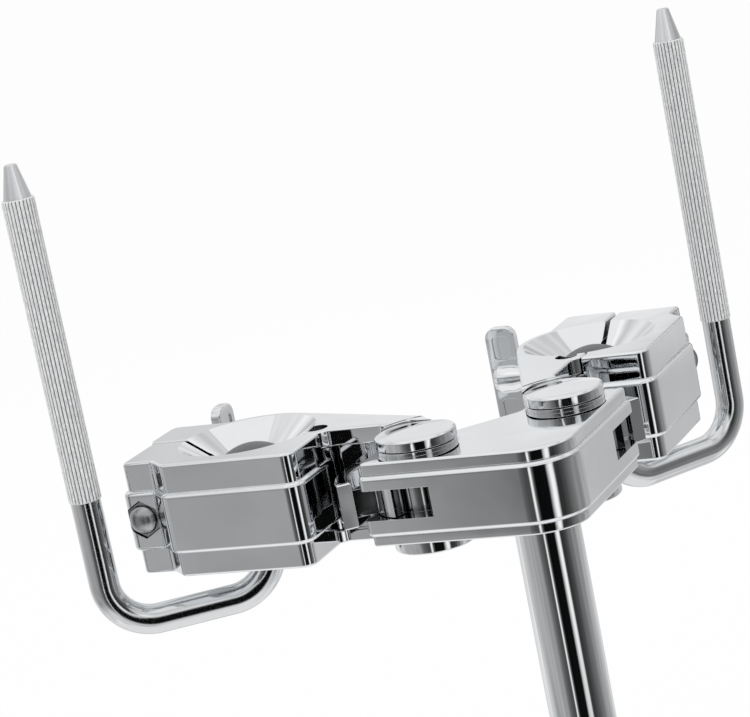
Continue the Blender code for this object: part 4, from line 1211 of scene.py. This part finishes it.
def build_surround(radius):
    """Ring of panels and flags that only the gloss of the pieces sees. The flags stand low:
    above and below them the ring is open and pale."""
    mesh = bpy.data.meshes.new("studio_surround")
    with editing(mesh) as bm:
        bmesh.ops.create_cone(bm, cap_ends=False, segments=96, radius1=radius, radius2=radius,
                              depth=SURROUND_H, matrix=Matrix.Translation((0, 0, SURROUND_MID)))
    ring = bpy.data.objects.new("studio_surround", mesh)
    bpy.context.scene.collection.objects.link(ring)
    mat, tree, mm = new_finish("studio_panels")
    axes = add_node(tree, "ShaderNodeSeparateXYZ", None, {"Vector": mm})
    back = add_node(tree, "ShaderNodeMath", {"operation": "MULTIPLY"}, {0: axes.outputs["Y"], 1: -1.0})
    angle = add_node(tree, "ShaderNodeMath", {"operation": "ARCTAN2"},
                     {0: axes.outputs["X"], 1: back.outputs[0]})
    turn = add_node(tree, "ShaderNodeMapRange", None, {
        "Value": angle.outputs[0], "From Min": -math.pi, "From Max": math.pi})
    panels = add_node(tree, "ShaderNodeValToRGB", None, {"Fac": turn.outputs[0]})
    set_stops(panels, [((a + 180) / 360, v) for a, v in PANELS])
    clouded = multiplied(tree, panels.outputs[0],
                         spread(tree, grain(tree, mm, 210.0, 2.0), 0.62, 1.12))
    height = add_node(tree, "ShaderNodeMapRange", None, {
        "Value": axes.outputs["Z"], "From Min": -800.0, "From Max": 1200.0})
    open_part = add_node(tree, "ShaderNodeValToRGB", None, {"Fac": height.outputs[0]})
    set_stops(open_part, [(0.22, 1.0), (0.34, 0.0), (0.63, 0.0), (0.76, 1.0)], "EASE")
    both = add_node(tree, "ShaderNodeMix", {"data_type": "RGBA"}, {
        "Factor": open_part.outputs[0], "A": clouded,
        "B": spread(tree, grain(tree, mm, 480.0, 1.0), 0.62, 1.12)})
    glow = add_node(tree, "ShaderNodeEmission", None, {"Color": both.outputs["Result"]})
    add_node(tree, "ShaderNodeOutputMaterial", None, {"Surface": glow.outputs[0]})
    mesh.materials.append(mat)
    ring.visible_camera = ring.visible_diffuse = ring.visible_shadow = False
    ring.visible_transmission = False


def build_lamps():
    """Soft lamps for the floor and the plastics; the chrome is lit by the surround."""
    middle = Vector((0.0, 0.06, 0.28))
    for name, at, size, power in (("key_softbox", (-0.9, -0.8, 1.3), 0.8, 14.0),
                                  ("fill_softbox", (1.1, -0.5, 0.9), 0.9, 6.0),
                                  ("back_softbox", (0.3, 1.3, 1.2), 0.9, 7.0)):
        data = bpy.data.lights.new(name, "AREA")
        data.shape = "SQUARE"
        data.size = size
        data.energy = power
        lamp = bpy.data.objects.new(name, data)
        lamp.location = at
        lamp.rotation_euler = (middle - Vector(at)).to_track_quat("-Z", "Y").to_euler()
        lamp.visible_glossy = False
        bpy.context.scene.collection.objects.link(lamp)


def build_world():
    """White to the camera and to gloss, a plain soft level for everything else."""
    world = bpy.data.worlds.new("studio_world")
    world.use_nodes = True
    tree = world.node_tree
    tree.nodes.clear()
    rays = add_node(tree, "ShaderNodeLightPath")
    seen = add_node(tree, "ShaderNodeMath", {"operation": "MAXIMUM"},
                    {0: rays.outputs["Is Camera Ray"], 1: rays.outputs["Is Transmission Ray"]})
    seen = add_node(tree, "ShaderNodeMath", {"operation": "MAXIMUM"},
                    {0: seen.outputs[0], 1: rays.outputs["Is Glossy Ray"]})
    level = add_node(tree, "ShaderNodeMapRange", None, {
        "Value": seen.outputs[0], "To Min": 0.45, "To Max": 1.0})
    sky = add_node(tree, "ShaderNodeBackground", None, {
        "Color": (1, 1, 1, 1), "Strength": level.outputs[0]})
    add_node(tree, "ShaderNodeOutputWorld", None, {"Surface": sky.outputs[0]})
    bpy.context.scene.world = world


def build_camera(studio):
    data = bpy.data.cameras.new("camera")
    data.sensor_fit = "HORIZONTAL"
    data.sensor_width = 36.0
    data.lens = studio.lens
    data.clip_start = 0.02
    data.clip_end = 50.0
    a, e, r = studio.azimuth, studio.elevation, studio.roll
    back = Vector((math.sin(a) * math.cos(e), -math.cos(a) * math.cos(e), math.sin(e)))
    right = Vector((math.cos(a), math.sin(a), 0.0))
    up = back.cross(right)
    right, up = right * math.cos(r) - up * math.sin(r), right * math.sin(r) + up * math.cos(r)
    place_matrix = Matrix((right, up, back)).transposed().to_4x4()
    place_matrix.translation = studio.eye
    camera = bpy.data.objects.new("camera", data)
    camera.matrix_world = place_matrix
    bpy.context.scene.collection.objects.link(camera)
    bpy.context.scene.camera = camera


# ---------------------------------------------------------------- panel and registration

STEPS = ("studio", "tube", "body", "pivots", "arms", "jaws", "wing_screws", "balls", "rods")


class HOLDER_PT_panel(bpy.types.Panel):
    """Lists the holder's pieces and settings"""
    bl_idname = "HOLDER_PT_panel"
    bl_label = "Drum Holder"
    bl_space_type = "VIEW_3D"
    bl_region_type = "UI"
    bl_category = "Drum Holder"

    def draw(self, context):
        for step in STEPS:
            self.layout.operator("drum_holder." + step)
        for group in (context.scene.holder_sizes, context.scene.holder_look,
                      context.scene.holder_studio):
            box = self.layout.box()
            for name in group.bl_rna.properties.keys():
                if name not in ("rna_type", "name"):
                    box.prop(group, name)


CLASSES = (HolderSizes, HolderLook, HolderStudio, HOLDER_OT_tube, HOLDER_OT_body,
           HOLDER_OT_pivots, HOLDER_OT_arms, HOLDER_OT_jaws, HOLDER_OT_wing_screws,
           HOLDER_OT_balls, HOLDER_OT_rods, HOLDER_OT_studio, HOLDER_PT_panel)


def register():
    for cls in CLASSES:
        bpy.utils.register_class(cls)
    bpy.types.Scene.holder_sizes = PointerProperty(type=HolderSizes)
    bpy.types.Scene.holder_look = PointerProperty(type=HolderLook)
    bpy.types.Scene.holder_studio = PointerProperty(type=HolderStudio)


def unregister():
    del bpy.types.Scene.holder_sizes, bpy.types.Scene.holder_look, bpy.types.Scene.holder_studio
    for cls in reversed(CLASSES):
        bpy.utils.unregister_class(cls)


def main():
    register()
    bpy.context.scene.view_settings.view_transform = "Standard"
    for step in STEPS:
        getattr(bpy.ops.drum_holder, step)()
    bpy.data.collections.remove(WORKSHOP)


if __name__ == "__main__":
    main()
